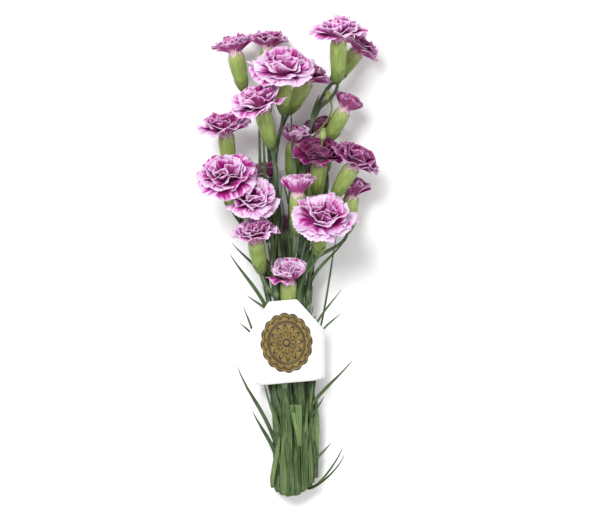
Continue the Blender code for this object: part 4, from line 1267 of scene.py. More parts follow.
@dataclass
class BloomPiece:
    """One bloom's petals: rings of ruffled, toothed petals round a bundle of white claws."""

    head: Head
    fitted: list[Petal]
    number: int
    seed: int = 900
    rows: int = 13
    columns: int = 23
    thickness: float = 0.40
    teeth: float = 0.020
    notch: float = 0.05
    root_drop: float = 3.0
    least_opening: float = 8.0
    claw_rings: int = 13
    claw_around: int = 40
    claw_ribs: int = 10
    claw_rib: float = 0.07
    claw_foot: float = 0.6
    claw_neck: Pair = (-1.4, 0.4)
    claw_radii: Point = (4.2, 6.5, 6.6)
    claw_shrink: float = 0.8
    claw_top: Pair = (0.50, 1.0)
    rings: tuple[PetalRing, ...] = (
        PetalRing(5, 1.00, 1.00, 1.36, 0.02, 0.050, 0.0, 0.0),
        PetalRing(5, 0.80, 0.96, 1.26, 0.08, 0.075, 6.0, 0.5),
        PetalRing(4, 0.58, 0.92, 1.14, 0.16, 0.100, 2.0, 0.22),
        PetalRing(3, 0.36, 0.86, 1.04, 0.30, 0.120, -6.0, 0.62),
        PetalRing(3, 0.16, 0.78, 0.84, 0.46, 0.130, -10.0, 0.15),
    )
    small_bloom_rings: int = 4
    turn_range: Pair = (-0.20, 0.20)
    opening_range: Pair = (-13, 11)
    length_range: Pair = (0.84, 1.04)
    curl_range: Pair = (-24, 26)
    wave_range: Pair = (0.03, 0.07)
    cup_range: Pair = (-0.06, 0.10)
    width_range: Pair = (0.80, 1.14)
    ring_inset: float = 0.16
    ring_rise: float = 0.6
    row_spread: float = 0.86
    ruffle_zone: Pair = (0.30, 0.70)
    ruffle_range: Pair = (0.9, 1.7)
    fine_ruffle: Pair = (0.24, 2.6)
    teeth_range: Pair = (0.3, 1.4)
    teeth_zone: Pair = (0.80, 0.20)
    notch_width: float = 0.10
    skin: Skin = field(default_factory=Skin)

    def outer_at(self, turn: float) -> Pair:
        """Reads how the fitted outer ring stands at a turn.

        Args:
            turn: The turn round the bloom.

        Returns:
            The opening and the length there, between those of the two nearest petals.
        """
        outer = self.fitted[: PETALS.outer_count]
        step = 2 * math.pi / len(outer)
        openings, lengths, weights = 0.0, 0.0, 0.0
        for petal in outer:
            apart = abs((turn - petal.turn + math.pi) % (2 * math.pi) - math.pi)
            weight = max(0.0, 1 - apart / step) + 1e-3
            openings += weight * petal.opening
            lengths += weight * petal.length
            weights += weight
        return openings / weights, lengths / weights

    def petal_of(self, order: int, place: int, draw: np.random.Generator) -> Petal:
        """Draws one visible petal.

        Args:
            order: Its ring's number.
            place: The petal's number in its ring.
            draw: The bloom's seeded draws.

        Returns:
            The petal.
        """
        ring, reach = self.rings[order], self.head.bloom.reach
        petal = self.fitted[place if order == 0 else 0]
        if order:
            step = 2 * math.pi / ring.count
            turn = petal.turn + step * (place + ring.shift + draw.uniform(*self.turn_range))
            opening, length = self.outer_at(turn)
            petal = replace(
                petal,
                turn=turn,
                opening=max(opening * ring.opening + draw.uniform(*self.opening_range), self.least_opening),
                length=length * ring.length * draw.uniform(*self.length_range),
                curl=ring.curl + draw.uniform(*self.curl_range),
                wave=reach * draw.uniform(*self.wave_range) * draw.choice([-1, 1]),
                cup=ring.cup + draw.uniform(*self.cup_range),
            )
        inward = 1 - self.ring_inset * order
        root = (PETALS.root[0] * inward, PETALS.root[1] - self.root_drop + self.ring_rise * order)
        return replace(petal, width=reach * ring.width * draw.uniform(*self.width_range), root=root)

    def add_petal(self, petal: Petal, order: int, draw: np.random.Generator) -> None:
        """Adds one petal with its ruffles and teeth.

        Args:
            petal: The petal.
            order: Its ring's number.
            draw: The bloom's seeded draws.
        """
        sideways = np.linspace(-1, 1, self.columns)
        u, v = np.meshgrid(np.linspace(0, 1, self.rows) ** self.row_spread, sideways, indexing="ij")
        ruffle = self.rings[order].ruffle * self.head.bloom.reach
        waves, phase = draw.uniform(*self.ruffle_range), draw.uniform(0, 2 * math.pi)
        start, span = self.ruffle_zone
        edge = smooth((u - start) / span)
        share, finer = self.fine_ruffle
        lift = ruffle * edge * np.sin(math.pi * waves * v * (1 + 0.15 * v) + phase)
        lift += share * ruffle * edge**3 * np.sin(math.pi * finer * waves * v + 2 * phase)
        teeth = self.teeth * np.where(np.arange(self.columns) % 2 == 0, 1.0, -1.0)
        teeth = teeth * draw.uniform(*self.teeth_range, self.columns)
        teeth -= self.notch * np.exp(-(((sideways - draw.uniform(-1, 1)) / self.notch_width) ** 2))
        start, span = self.teeth_zone
        u_cut = u * (1 + teeth[None] * smooth((u - start) / span))
        grid = to_world(self.head.frame(), petal_surface(petal, u_cut, v, lift))
        grid[..., 2] = np.maximum(grid[..., 2], PETALS.floor)
        tone = (draw.uniform(0, 1), order / len(self.rings), self.head.bloom.tone.value)
        self.skin.add_sheet(grid, self.thickness, placed(u.shape, u, v, 0.0), 1, tone)

    def add_claws(self) -> None:
        """Adds the bundle of claws, ribbed, that fills the calyx's mouth and carries the petals."""
        bloom = self.head.bloom
        high = bloom_height(bloom)
        share, of_reach, least = SIZES.claw_shoulder
        foot, shrink, (top, tip_radius) = self.claw_foot - SIZES.cup_depth, self.claw_shrink, self.claw_top
        heights = (foot, *self.claw_neck, shrink * share * high, top * high)
        radii = (*self.claw_radii, shrink * least + of_reach * bloom.reach, tip_radius)
        fine, coarse = np.linspace(0, 1, self.claw_rings), np.linspace(0, 1, len(radii))
        angle = turns(self.claw_around)
        ribs = 1 + self.claw_rib * np.cos(self.claw_ribs * angle)
        radius = np.interp(fine, coarse, radii)[:, None] * ribs
        local = round_the_axis(radius, angle, np.interp(fine, coarse, heights)[:, None])
        place = placed(radius.shape, fine[:, None] * 0.3, np.sin(self.claw_ribs / 2 * angle), 1.0)
        self.skin.add_tube(to_world(self.head.frame(), local), place, (0.5, 0.0, bloom.tone.value))

    def build(self, material: Material) -> Piece:
        """Builds the bloom in place of its solid.

        Args:
            material: The petals' material.

        Returns:
            The piece.
        """
        bloom = self.head.bloom
        draw = np.random.default_rng(self.seed + self.number)
        self.add_claws()
        small = bloom.reach <= PETALS.half_reach
        for order, ring in enumerate(self.rings[: self.small_bloom_rings] if small else self.rings):
            for place in range(ring.count):
                self.add_petal(self.petal_of(order, place, draw), order, draw)
        piece = self.skin.build("petals_" + bloom.name, [material])
        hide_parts("bloom_" + bloom.name)
        return piece


@dataclass(frozen=True)
class EdgeLeaf:
    """A thin leaf past the band or between the upper stems: its spray, ends, bend and half width."""

    spray: str
    start: Point
    tip: Point
    bend: float
    half_width: float


EDGE_LEAVES = (
    EdgeLeaf("right", (24, 150, 34), (51, 192, 40), -8.0, 0.9),
    EdgeLeaf("right_low", (29, 145, 30), (51, 170, 34), -6.0, 0.9),
    EdgeLeaf("right_low", (30, 150, 28), (47, 246, 44), 30.0, 0.9),
    EdgeLeaf("left", (-31, 148, 34), (-41, 176, 38), -4.0, 0.9),
    EdgeLeaf("left_low", (-30, 144, 30), (-45, 161, 32), -4.0, 0.9),
    EdgeLeaf("left", (-18, 236, 40), (-27, 352, 46), 6.0, 1.8),
    EdgeLeaf("front_left", (-14, 240, 44), (-23, 346, 52), 6.0, 1.6),
    EdgeLeaf("centre", (3, 240, 44), (4, 362, 50), 4.0, 2.0),
    EdgeLeaf("back_right", (10, 240, 34), (8, 350, 38), 4.0, 1.8),
)


@dataclass(frozen=True)
class LeafRun:
    """Leaves that lie along a stem: how many, and the ranges of their starts, lengths, gaps and widths."""

    count: int
    starts: Pair
    lengths: Pair
    end: float
    gap: float
    gaps: Pair
    half_widths: Pair
    arched: bool


COVER_LEAVES = LeafRun(8, (2.0, 66.0), (38.0, 84.0), 104.0, 2.6, (0.6, 2.4), (1.6, 3.8), True)
UPPER_LEAVES = LeafRun(6, (186.0, 270.0), (34.0, 66.0), 1000.0, 2.2, (3.0, 6.5), (1.0, 1.9), False)


@dataclass
class SprayPiece:
    """One green spray: its main stem with joints, side stems, calyxes with bracts, leaves and buds."""

    name: str
    bunch: Bunch
    number: int
    seed: int = 300
    stem_sides: int = 12
    stem_ease: float = 0.94
    stem_floor: float = 0.35
    joint_swell: float = 0.24
    joint_length: float = 3.0
    joint_gap: float = 9.0
    joint_shift: float = 7.0
    side_joint: float = 16.0
    side_flare: float = 1.05
    taper_zone: Pair = (0.35, 0.65)
    band_joints: Pair = (104.0, 142.0)
    leaf_narrowing: float = 0.66
    narrow_leaf: float = 1.9
    leaf_columns: int = 7
    leaf_thickness: float = 0.5
    leaf_floor: float = 0.45
    leaf_swell: Pair = (0.72, 1.2)
    leaf_taper: Pair = (1.9, 0.75)
    leaf_keel: float = 0.28
    leaf_ripple: Pair = (0.05, 9)
    least_half_width: float = 0.12
    sheath_steps: tuple[int, int] = (4, 8)
    least_sheath_steps: int = 3
    sheath_spread: Point = (2.2, 2.4, 1.6)
    sheath_half_width: float = 2.0
    least_leaf_steps: int = 5
    foot_count: int = 6
    foot_start: float = -3.5
    foot_curve: float = 0.030
    foot_middle: float = 3.0
    foot_reach: float = 24.0
    foot_spread: float = 1.35
    foot_jitter: Pair = (-5, 5)
    foot_rise: Pair = (15.0, 26.0)
    foot_heights: Pair = (26.0, 96.0)
    foot_widths: Pair = (1.9, 3.9)
    bud_drop: float = 52.0
    bud_shares: tuple[float, ...] = (0.0, 0.05, 0.14, 0.30, 0.55, 0.78, 0.92, 1.0)
    bud_radii: tuple[float, ...] = (0.9, 1.8, 2.5, 3.0, 2.9, 2.1, 1.0, 0.15)
    calyx_around: int = 30
    calyx_rise: float = 3.6
    calyx_wall: float = 0.5
    calyx_ribs: float = 0.018
    calyx_notch: float = 0.35
    full_calyx: float = 33.0
    calyx_crown: Pair = (0.55, 0.45)
    cup_depths: Point = (0.0, 2.2, SIZES.cup_depth)
    bract_thickness: float = 0.4
    bract_gap: float = 0.6
    bract_spread: float = 0.95
    calyx_shares: tuple[float, ...] = (0.0, 0.03, 0.08, 0.16, 0.27, 0.40, 0.55, 0.70, 0.84, 0.94, 1.0)
    calyx_radii: tuple[float, ...] = (0.26, 0.36, 0.50, 0.64, 0.78, 0.88, 0.95, 0.99, 1.0, 0.99, 0.97)
    bract_shares: tuple[float, ...] = (0.0, 0.08, 0.16, 0.27, 0.40)
    bract_radii: tuple[float, ...] = (0.26, 0.50, 0.64, 0.78, 0.88)
    bract_reaches: Pair = (0.34, 0.44)
    cut_blade_spray: str = "front_centre"
    cut_blade_ends: Pair = (44.0, 84.0)
    cut_blade_middle: Pair = (12.2, 4.2)
    cut_blade_half: Point = (1.6, 3.7, 1.15)
    cut_blade_height: Point = (15.2, 1.4, 0.6)
    skin: Skin = field(default_factory=Skin)

    def joints_of(self, main: Rope) -> list[float]:
        """Lists how far up a stem its joints stand.

        Args:
            main: The main stem.

        Returns:
            The joints' heights.
        """
        carried = [*self.bunch.leaves, *self.bunch.sides]
        heights = [rope.drawn[0, 1] for rope in carried if rope.root and rope.root[0] is main]
        heights += [joint + self.joint_shift * (self.number % 3) for joint in self.band_joints]
        kept: list[float] = []
        for height in sorted(heights):
            if not kept or height - kept[-1] > self.joint_gap:
                kept.append(height)
        return kept

    def add_stem(self, rope: Rope, start: float, end: float, joints: Sequence[float]) -> None:
        """Adds a stem as a smooth tube that swells at its joints.

        Args:
            rope: The stem's route.
            start: Its radius at its root.
            end: Its radius under the calyx.
            joints: The heights of its joints.
        """
        route = smooth_route(rope.points, 3)
        share = np.linspace(0, 1, len(route))
        swell = np.zeros(len(route))
        for joint in joints:
            swell = np.maximum(swell, np.exp(-(((route[:, 1] - joint) / self.joint_length) ** 2)))
        first, span = self.taper_zone
        radii = start + (end - start) * smooth((share - first) / span)
        angle = turns(self.stem_sides)
        grid = tube_grid(route, radii * (1 + self.joint_swell * swell), angle)
        if not rope.root:
            grid[:, :, 2] = np.maximum(grid[:, :, 2], self.stem_floor)
        place = placed(grid.shape[:2], route[:, 1:2] / 100, np.sin(angle), swell[:, None])
        self.skin.add_tube(grid, place, (self.number / 11, start / 3, 0.0), Part.STEM.value)

    def add_calyx(self, frame: Matrix, length: float, tone: float) -> None:
        """Adds a calyx: a smooth ribbed cup that ends in five pointed teeth.

        Args:
            frame: Its place, with its origin in its mouth.
            length: Its length.
            tone: A draw that sets its shade.
        """
        angle = turns(self.calyx_around)
        tooth = 1 - np.abs(((angle * 5 / (2 * math.pi)) % 1) * 2 - 1)
        top = self.calyx_rise * (tooth - self.calyx_notch) * length / self.full_calyx
        crown, span = self.calyx_crown
        radii = np.array(self.calyx_radii) * SIZES.calyx_mouth
        # The cup's inner rings take along 1, so the calyx material paints them pale: painted light against
        # the shade inside the mouth.
        rings, along = [], [*self.calyx_shares, 1.0, 1.0, 1.0]
        for share, radius in zip(self.calyx_shares, radii):
            height = (share - 1) * length + top * smooth((share - crown) / span)
            ribbed = radius * (1 + self.calyx_ribs * np.cos(10 * angle) * smooth(share * 3))
            rings.append(round_the_axis(ribbed, angle, height))
        for depth in self.cup_depths:
            inner = radii[-1] - self.calyx_wall * (1 if depth else 0.4)
            height = top * (1 - depth / SIZES.cup_depth) - depth
            rings.append(round_the_axis(inner, angle, height))
        grid = to_world(frame, np.array(rings))
        place = placed(grid.shape[:2], np.array(along)[:, None], np.cos(5 * angle), tooth)
        self.skin.add_tube(grid, place, (tone, 0.0, 0.0), Part.CALYX.value)
        self.add_bracts(frame, length, tone)

    def add_bracts(self, frame: Matrix, length: float, tone: float) -> None:
        """Adds the two pairs of pointed bracts that hug the calyx's foot.

        Args:
            frame: The calyx's place.
            length: The calyx's length.
            tone: A draw that sets their shade.
        """
        u, v = np.meshgrid(np.linspace(0, 1, 8), np.linspace(-1, 1, 9), indexing="ij")
        spread = self.bract_spread * (1 - u**2.2) ** 0.8 + 0.02
        place = placed(u.shape, u * 0.3, v, 1.0)
        for order in range(4):
            reach = self.bract_reaches[order % 2] * length
            turn = order * math.pi / 2 + tone * 6
            radius = np.interp(u * reach / length, self.bract_shares, self.bract_radii)
            radius = radius * SIZES.calyx_mouth + 0.45 + 0.5 * smooth((u - 0.75) / 0.25)
            height = -length - self.bract_gap + u * reach
            grid = to_world(frame, round_the_axis(radius, turn + v * spread, height))
            look = (tone, 1.0, 0.0)
            self.skin.add_sheet(grid, self.bract_thickness, place, 0, look, Part.CALYX.value)

    def add_leaf(self, route: Array, half_width: float, facing: Array, tone: float) -> None:
        """Adds a narrow keeled leaf blade.

        Args:
            route: Its route from root to tip.
            half_width: Half its greatest width.
            facing: The way that its face looks.
            tone: A draw that sets its shade.
        """
        ways = np.gradient(route, axis=0)
        ways /= np.linalg.norm(ways, axis=1, keepdims=True)
        side = unit(np.cross(ways[0], facing))
        v = np.linspace(-1, 1, self.leaf_columns)
        grid = np.zeros((len(route), self.leaf_columns, 3))
        (first, widening), (blunt, power) = self.leaf_swell, self.leaf_taper
        ripple, ripples = self.leaf_ripple
        for i, (place, way) in enumerate(zip(route, ways)):
            side = unit(side - way * (side @ way))
            share = i / (len(route) - 1)
            swell, taper = min(1.0, first + widening * share), min(1.0, blunt * (1 - share) ** power)
            half = max(half_width * swell * taper, self.least_half_width)
            keel = self.leaf_keel * half * (1 - np.abs(v)) * -1 + ripple * math.sin(ripples * share)
            grid[i] = place + v[:, None] * half * side + keel[:, None] * np.cross(side, way)
        grid[..., 2] = np.maximum(grid[..., 2], self.leaf_floor)
        place = placed(grid.shape[:2], np.linspace(0, 1, len(route))[:, None], v, 0.0)
        self.skin.add_sheet(grid, self.leaf_thickness, place, 1, (tone, 0.0, 0.0), Part.LEAF.value)

    def add_rope_leaf(self, rope: Rope, tone: float) -> None:
        """Adds the leaf that a rope of the layout stands for.

        Args:
            rope: The leaf's rope.
            tone: A draw that sets its shade.
        """
        carrier, at = rope.root
        route = rope.points
        beside = carrier.points[min(at + len(route) - 1, len(carrier.drawn) - 1)]
        above = 1 if route[-1][2] > axis_z(route[-1][1]) else -1
        facing = unit(route[-1] - beside) + np.array([0, 0, 2.0 * above])
        narrow = self.leaf_narrowing if rope.half_width > self.narrow_leaf else 1.0
        self.add_leaf(smooth_route(route, 2), rope.half_width * narrow, facing, tone)

    def add_leaf_run(self, run: LeafRun, route: Array, draw: np.random.Generator) -> None:
        """Adds blades that lie along the stem and fill the gaps between stems.

        Args:
            run: How many, how long, how wide and how far away.
            route: The main stem's route.
            draw: The spray's seeded draws.
        """
        sides, ups = steady_sides(route)
        for _ in range(run.count):
            start = draw.uniform(*run.starts)
            end = min(start + draw.uniform(*run.lengths), run.end)
            first, last = np.searchsorted(route[:, 1], (start, end))
            last = min(last, len(route) - 1)
            if last - first < self.least_leaf_steps:
                continue
            turn = draw.uniform(0, 2 * math.pi)
            out = math.cos(turn) * sides[first:last] + math.sin(turn) * ups[first:last]
            share = np.linspace(0, 1, last - first)
            rise = np.sin(math.pi * np.minimum(share * 0.8 + 0.1, 1.0)) if run.arched else share**1.5
            away = run.gap + draw.uniform(*run.gaps) * rise
            blade = smooth_route(route[first:last] + out * away[:, None], 2)
            self.add_leaf(blade, draw.uniform(*run.half_widths), out[0], draw.uniform(0, 1))

    def add_sheath_leaves(self, main: Rope, draw: np.random.Generator) -> None:
        """Adds the short pointed leaves that hug the stem at its joints, in pairs.

        Args:
            main: The main stem.
            draw: The spray's seeded draws.
        """
        route = main.points
        sides, ups = steady_sides(route)
        near, away, power = self.sheath_spread
        for joint in self.joints_of(main):
            at = int(np.abs(route[:, 1] - joint).argmin())
            end = min(at + int(draw.integers(*self.sheath_steps)), len(route) - 1)
            if end - at < self.least_sheath_steps:
                continue
            turn = draw.uniform(0, 2 * math.pi)
            for half_turn in (0.0, math.pi):
                out = math.cos(turn + half_turn) * sides[at:end] + math.sin(turn + half_turn) * ups[at:end]
                radius = near + away * np.linspace(0, 1, end - at) ** power
                blade = smooth_route(route[at:end] + out * radius[:, None], 3)
                self.add_leaf(blade, self.sheath_half_width, out[0], draw.uniform(0, 1))

    def add_foot_leaves(self, foot: Array, draw: np.random.Generator) -> None:
        """Adds the broad blades that rise from the cut end and round off the bunch's foot.

        Args:
            foot: The middle of the main stem's cut end.
            draw: The spray's seeded draws.
        """
        middle = np.array([self.foot_middle, foot[1], axis_z(foot[1])])
        away = unit(foot - middle + (0.0, 0.0, 2.0))
        for _ in range(self.foot_count):
            wide = (foot[0] - middle[0]) * self.foot_spread + draw.uniform(*self.foot_jitter)
            across = np.clip(wide, -self.foot_reach, self.foot_reach)
            up, out = self.foot_rise
            level = up * (1 - (across / out) ** 2) ** 0.5 * draw.uniform(0.2, 1.0)
            start = middle + (across, 0.0, level)
            start[1] = self.foot_start + self.foot_curve * across**2 + draw.uniform(0.0, 1.5)
            high = draw.uniform(*self.foot_heights)
            lean = draw.uniform(*self.foot_jitter) - 0.1 * across
            tip = np.array([start[0] + lean, high, axis_z(high) + 0.8 * level + draw.uniform(0, 3)])
            tip[2] = max(tip[2], 3.0)
            way = unit((draw.uniform(-0.15, 0.15), 1.0, 0.10))
            route = smooth_route(hermite(start, way, tip, way, SIZES.stem_step), 2)
            facing = away + (draw.uniform(-0.5, 0.5), 0.0, 1.0)
            self.add_leaf(route, draw.uniform(*self.foot_widths), facing, draw.uniform(0, 1))

    def add_edge_leaves(self) -> None:
        """Adds the thin leaves past the band's cut-off corners and between the upper stems."""
        for leaf in EDGE_LEAVES:
            if leaf.spray == self.name:
                start, tip = np.array(leaf.start, float), np.array(leaf.tip, float)
                way = unit((0.25 * np.sign(tip[0]), 1.0, 0.0))
                route = hermite(start, way, tip, tip - start + leaf.bend * way, SIZES.stem_step / 2)
                self.add_leaf(route, leaf.half_width, np.array([0.0, 0.0, 1.0]), 0.4)

    def add_bud(self, plan: BudPlan, route: Array) -> None:
        """Adds a small closed green bud on a thin side stem.

        Args:
            plan: The bud's plan.
            route: The route of the main stem that carries it.
        """
        base, way = np.array(plan.base, float), unit(plan.lean)
        root = route[min(int(np.searchsorted(route[:, 1], base[1] - self.bud_drop)), len(route) - 1)]
        stem = smooth_route(hermite(root, (0.0, 1.0, 0.0), base, way, SIZES.stem_step), 2)
        line = np.vstack([stem, base + np.array(self.bud_shares[1:])[:, None] * plan.length * way])
        width = np.concatenate([np.full(len(stem), self.bud_radii[0]), self.bud_radii[1:]])
        angle = turns(self.stem_sides)
        grid = tube_grid(line, width, angle)
        place = placed(grid.shape[:2], width[:, None] / 3.0, np.sin(angle), 0.0)
        self.skin.add_tube(grid, place, (0.3, 0.3, 0.0), Part.CALYX.value)

    def add_cut_blade(self) -> None:
        """Adds the pale broad blade with a straight cut end that lies on top of the stems."""
        low, high = self.cut_blade_ends
        y, v = np.meshgrid(np.linspace(low, high, 14), np.linspace(-1, 1, 9), indexing="ij")
        share = (y - low) / (high - low)
        (start, shift), (narrow, widening, pace) = self.cut_blade_middle, self.cut_blade_half
        x = start - shift * share + v * (narrow + widening * smooth(share * pace))
        height, hollow, rise = self.cut_blade_height
        z = axis_z(y) + height - hollow * (1 - v * v) + rise * share
        place = placed(v.shape, 0.3 + 0.3 * share, v, 1.0)
        grid = np.stack([x, y, z], axis=-1)
        self.skin.add_sheet(grid, self.leaf_thickness, place, 0, (1.0, 0.0, 1.0), Part.LEAF.value)

    def build(self, materials: Sequence[Material]) -> Piece:
        """Builds the spray in place of its solid.

        Args:
            materials: The stem's, the calyx's and the leaf's material.

        Returns:
            The piece.
        """
        draw = np.random.default_rng(self.seed + self.number)
        main = self.bunch.mains[self.name]
        thick, thin, side = SIZES.stem_radius, SIZES.stem_top_radius, SIZES.side_stem_radius
        self.add_stem(main, thick * self.stem_ease, thin * self.stem_ease, self.joints_of(main))
        for rope in self.bunch.sides:
            if rope.spray == self.name:
                self.add_stem(rope, side, side * self.side_flare, [rope.drawn[-1, 1] - self.side_joint])
        for head in self.bunch.heads:
            if head.bloom.spray == self.name:
                self.add_calyx(head.frame(), head.bloom.calyx, draw.uniform(0, 1))
        for rope in self.bunch.leaves:
            if rope.spray == self.name:
                self.add_rope_leaf(rope, draw.uniform(0, 1))
        self.add_sheath_leaves(main, draw)
        self.add_leaf_run(COVER_LEAVES, main.points, draw)
        self.add_foot_leaves(main.points[0], draw)
        self.add_leaf_run(UPPER_LEAVES, main.points, draw)
        self.add_edge_leaves()
        for plan in BUDS:
            if plan.spray == self.name:
                self.add_bud(plan, main.points)
        if self.name == self.cut_blade_spray:
            self.add_cut_blade()
        piece = self.skin.build("green_" + self.name, materials)
        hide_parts("spray_" + self.name)
        return piece


@dataclass
class CardBand:
    """The white card band: a flattened sleeve, its front panel's upper corners cut off, glued at the back."""

    arc_steps: int = 20
    flat_steps: int = 14
    rows: int = 16
    sag: float = 0.5
    inner_share: float = 0.7
    flap_width: float = 13.0
    flap_lift: float = 0.35
    flap_thickness: float = 0.3
    skin: Skin = field(default_factory=Skin)

    def outline(self, inset: float) -> Array:
        """Draws the sleeve's outline in the band's XZ plane, from the front's left end round.

        Args:
            inset: How far inside the outer wall it lies.

        Returns:
            The outline's points.
        """
        half_depth = SIZES.band_half_depth - inset
        straight = SIZES.band_half_width - SIZES.band_half_depth
        points: list[Pair] = []
        for side in (1, -1):
            flat = np.linspace(-straight, straight, 2 * self.flat_steps + 1)[::side]
            points += [(x, side * half_depth) for x in flat]
            for k in range(1, self.arc_steps):
                angle = math.radians(side * 90 - 180 * k / self.arc_steps)
                points.append((side * straight + half_depth * math.cos(angle), half_depth * math.sin(angle)))
        return np.array(points)

    def top_at(self, x: Array, z: Array) -> Array:
        """Gives the height of the band's upper edge above the band's middle.

        Args:
            x: Across the band.
            z: In front of its middle.

        Returns:
            The height.
        """
        half, edge = SIZES.band_front_height / 2, SIZES.band_top_edge / 2
        shoulder = SIZES.band_side_height - half
        share = np.clip((np.abs(x) - edge) / (SIZES.band_half_width - edge), 0, 1)
        return np.where(z > 0, half + (shoulder - half) * share, shoulder)

    def wall(self, inset: float) -> Array:
        """Draws one face of the sleeve.

        Args:
            inset: How far inside the outer wall it lies.

        Returns:
            Rows of points in the band's frame, from its lower to its upper edge.
        """
        x, z = self.outline(inset).T
        low, top = -SIZES.band_front_height / 2, self.top_at(x, z)
        rows = []
        for share in np.linspace(0, 1, self.rows):
            y = low + (top - low) * share
            wide = 1 + SIZES.band_taper * y / (SIZES.band_front_height / 2)
            press = self.sag * np.cos(x * 0.16 + 1.5 * share) * np.abs(z) / SIZES.band_half_depth
            rows.append(np.stack([x * wide, y, z - np.sign(z) * (0.5 * press + 0.5 * self.sag)], axis=-1))
        return np.array(rows)

    def add_sleeve(self) -> None:
        """Adds the closed sleeve."""
        local = np.stack([self.wall(0.0), self.wall(SIZES.band_wall * self.inner_share)])
        rows, around = local.shape[1:3]
        faces, count, top = both_sides(rows, around, True), rows * around, (rows - 1) * around
        for k in range(around):
            n = (k + 1) % around
            faces.append([n, k, count + k, count + n])
            faces.append([top + k, top + n, count + top + n, count + top + k])
        rise = np.linspace(0, 1, rows)[:, None]
        place = placed(local.shape[:3], local[..., 0] / 40, rise, local[..., 2] / 20)
        self.skin.add(to_world(band_frame(), local), [face[::-1] for face in faces], place, (0.0, 0.0, 0.0))

    def add_flap(self) -> None:
        """Adds the glued overlap down the band's back."""
        low = -SIZES.band_front_height / 2
        heights = np.linspace(low, SIZES.band_side_height + low, 10)
        y, x = np.meshgrid(heights, np.linspace(0, self.flap_width, 6), indexing="ij")
        z = np.full_like(x, -SIZES.band_half_depth + self.flap_lift / 2)
        grid = to_world(band_frame(), np.stack([x, y, z], axis=-1))
        place = placed(x.shape, x / 40, (y - low) / 80, z / 20)
        self.skin.add_sheet(grid, self.flap_thickness, place, 0, (1.0, 0.0, 0.0))

    def build(self, material: Material) -> Piece:
        """Builds the band in place of its solid.

        Args:
            material: The card.

        Returns:
            The piece.
        """
        self.add_sleeve()
        self.add_flap()
        piece = self.skin.build("white_card_band", [material])
        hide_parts("card_band")
        return piece


@dataclass
class GoldSeal:
    """The gold foil seal: a scalloped oval with a beaded border and a plain rosette in low relief."""

    across: float = 24.5
    up: float = 28.5
    scallops: int = 16
    scallop_depth: float = 1.6
    thickness: float = 0.8
    deepest: float = 0.34
    lift: float = 1.0
    seat: float = 0.3
    around: int = 256
    rings: int = 44
    petals: int = 12
    rim: Point = (0.955, 0.022, 0.22)
    bead: Point = (0.70, 0.016, 0.20)
    border: Point = (0.73, 0.93, 0.16)
    rosette: Point = (0.12, 0.62, 0.20)
    hub: Pair = (0.11, 0.26)

    def edge(self, angle: Array) -> Array:
        """Gives the scalloped edge's share of the oval's radii, 1 at the tips of the scallops."""
        dent = 1 - np.abs(np.cos(self.scallops * angle / 2))
        return 1 - self.scallop_depth / self.up * dent

    def relief(self, radius: Array, angle: Array) -> Array:
        """Gives the height of the relief above the seal's ground.

        Args:
            radius: Share of the way from the middle to the edge.
            angle: Round the seal.

        Returns:
            The height.
        """
        rim, bead = (np.exp(-(((radius - at) / wide) ** 2)) for at, wide, _ in (self.rim, self.bead))
        inner, outer, high = self.border
        leaves = smooth((radius - inner) / 0.04) * smooth((outer - radius) / 0.04)
        leaves = leaves * (0.35 + 0.65 * np.abs(np.cos(self.scallops * angle / 2)))
        rosette = np.abs(np.cos(self.petals * angle / 2)) ** 0.5
        eye, reach, petal_high = self.rosette
        rosette = rosette * smooth(radius / eye) * smooth((reach - radius) / 0.10)
        hub_radius, hub_high = self.hub
        hub = smooth((hub_radius - radius) / 0.03)
        lines = self.rim[2] * rim + self.bead[2] * bead
        return lines + high * leaves + petal_high * rosette + hub_high * hub

    def build(self, material: Material) -> Piece:
        """Builds the seal in place of its solid.

        Args:
            material: The foil.

        Returns:
            The piece.
        """
        skin, angle = Skin(), turns(self.around)
        radius = np.linspace(0.02, 1.0, self.rings)[:, None]
        edge = self.edge(angle)[None] * radius
        bottom = SIZES.band_half_depth + self.seat
        ground = bottom + self.thickness - self.deepest
        height = ground + self.relief(radius, angle[None])
        height[-1] = ground - 0.1
        x, y = self.across * edge * np.cos(angle), self.up * edge * np.sin(angle)
        front = np.stack([x, y - self.lift, height], axis=-1)
        back = front[-1:].copy()
        back[..., 2] = bottom
        grid = np.concatenate([front, back])
        shape = grid.shape[:2]
        place = placed(shape, np.concatenate([radius, [[1.0]]]), angle / (2 * math.pi), 0.0)
        look = placed(shape, grid[..., 0] / self.across, (grid[..., 1] + self.lift) / self.up, 0.0)
        skin.add_tube(to_world(band_frame(), grid), place, look.reshape(-1, 3))
        piece = skin.build("gold_foil_seal", [material])
        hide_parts("gold_seal")
        return piece


Colour = Point
Stops = tuple[tuple[float, Colour], ...]


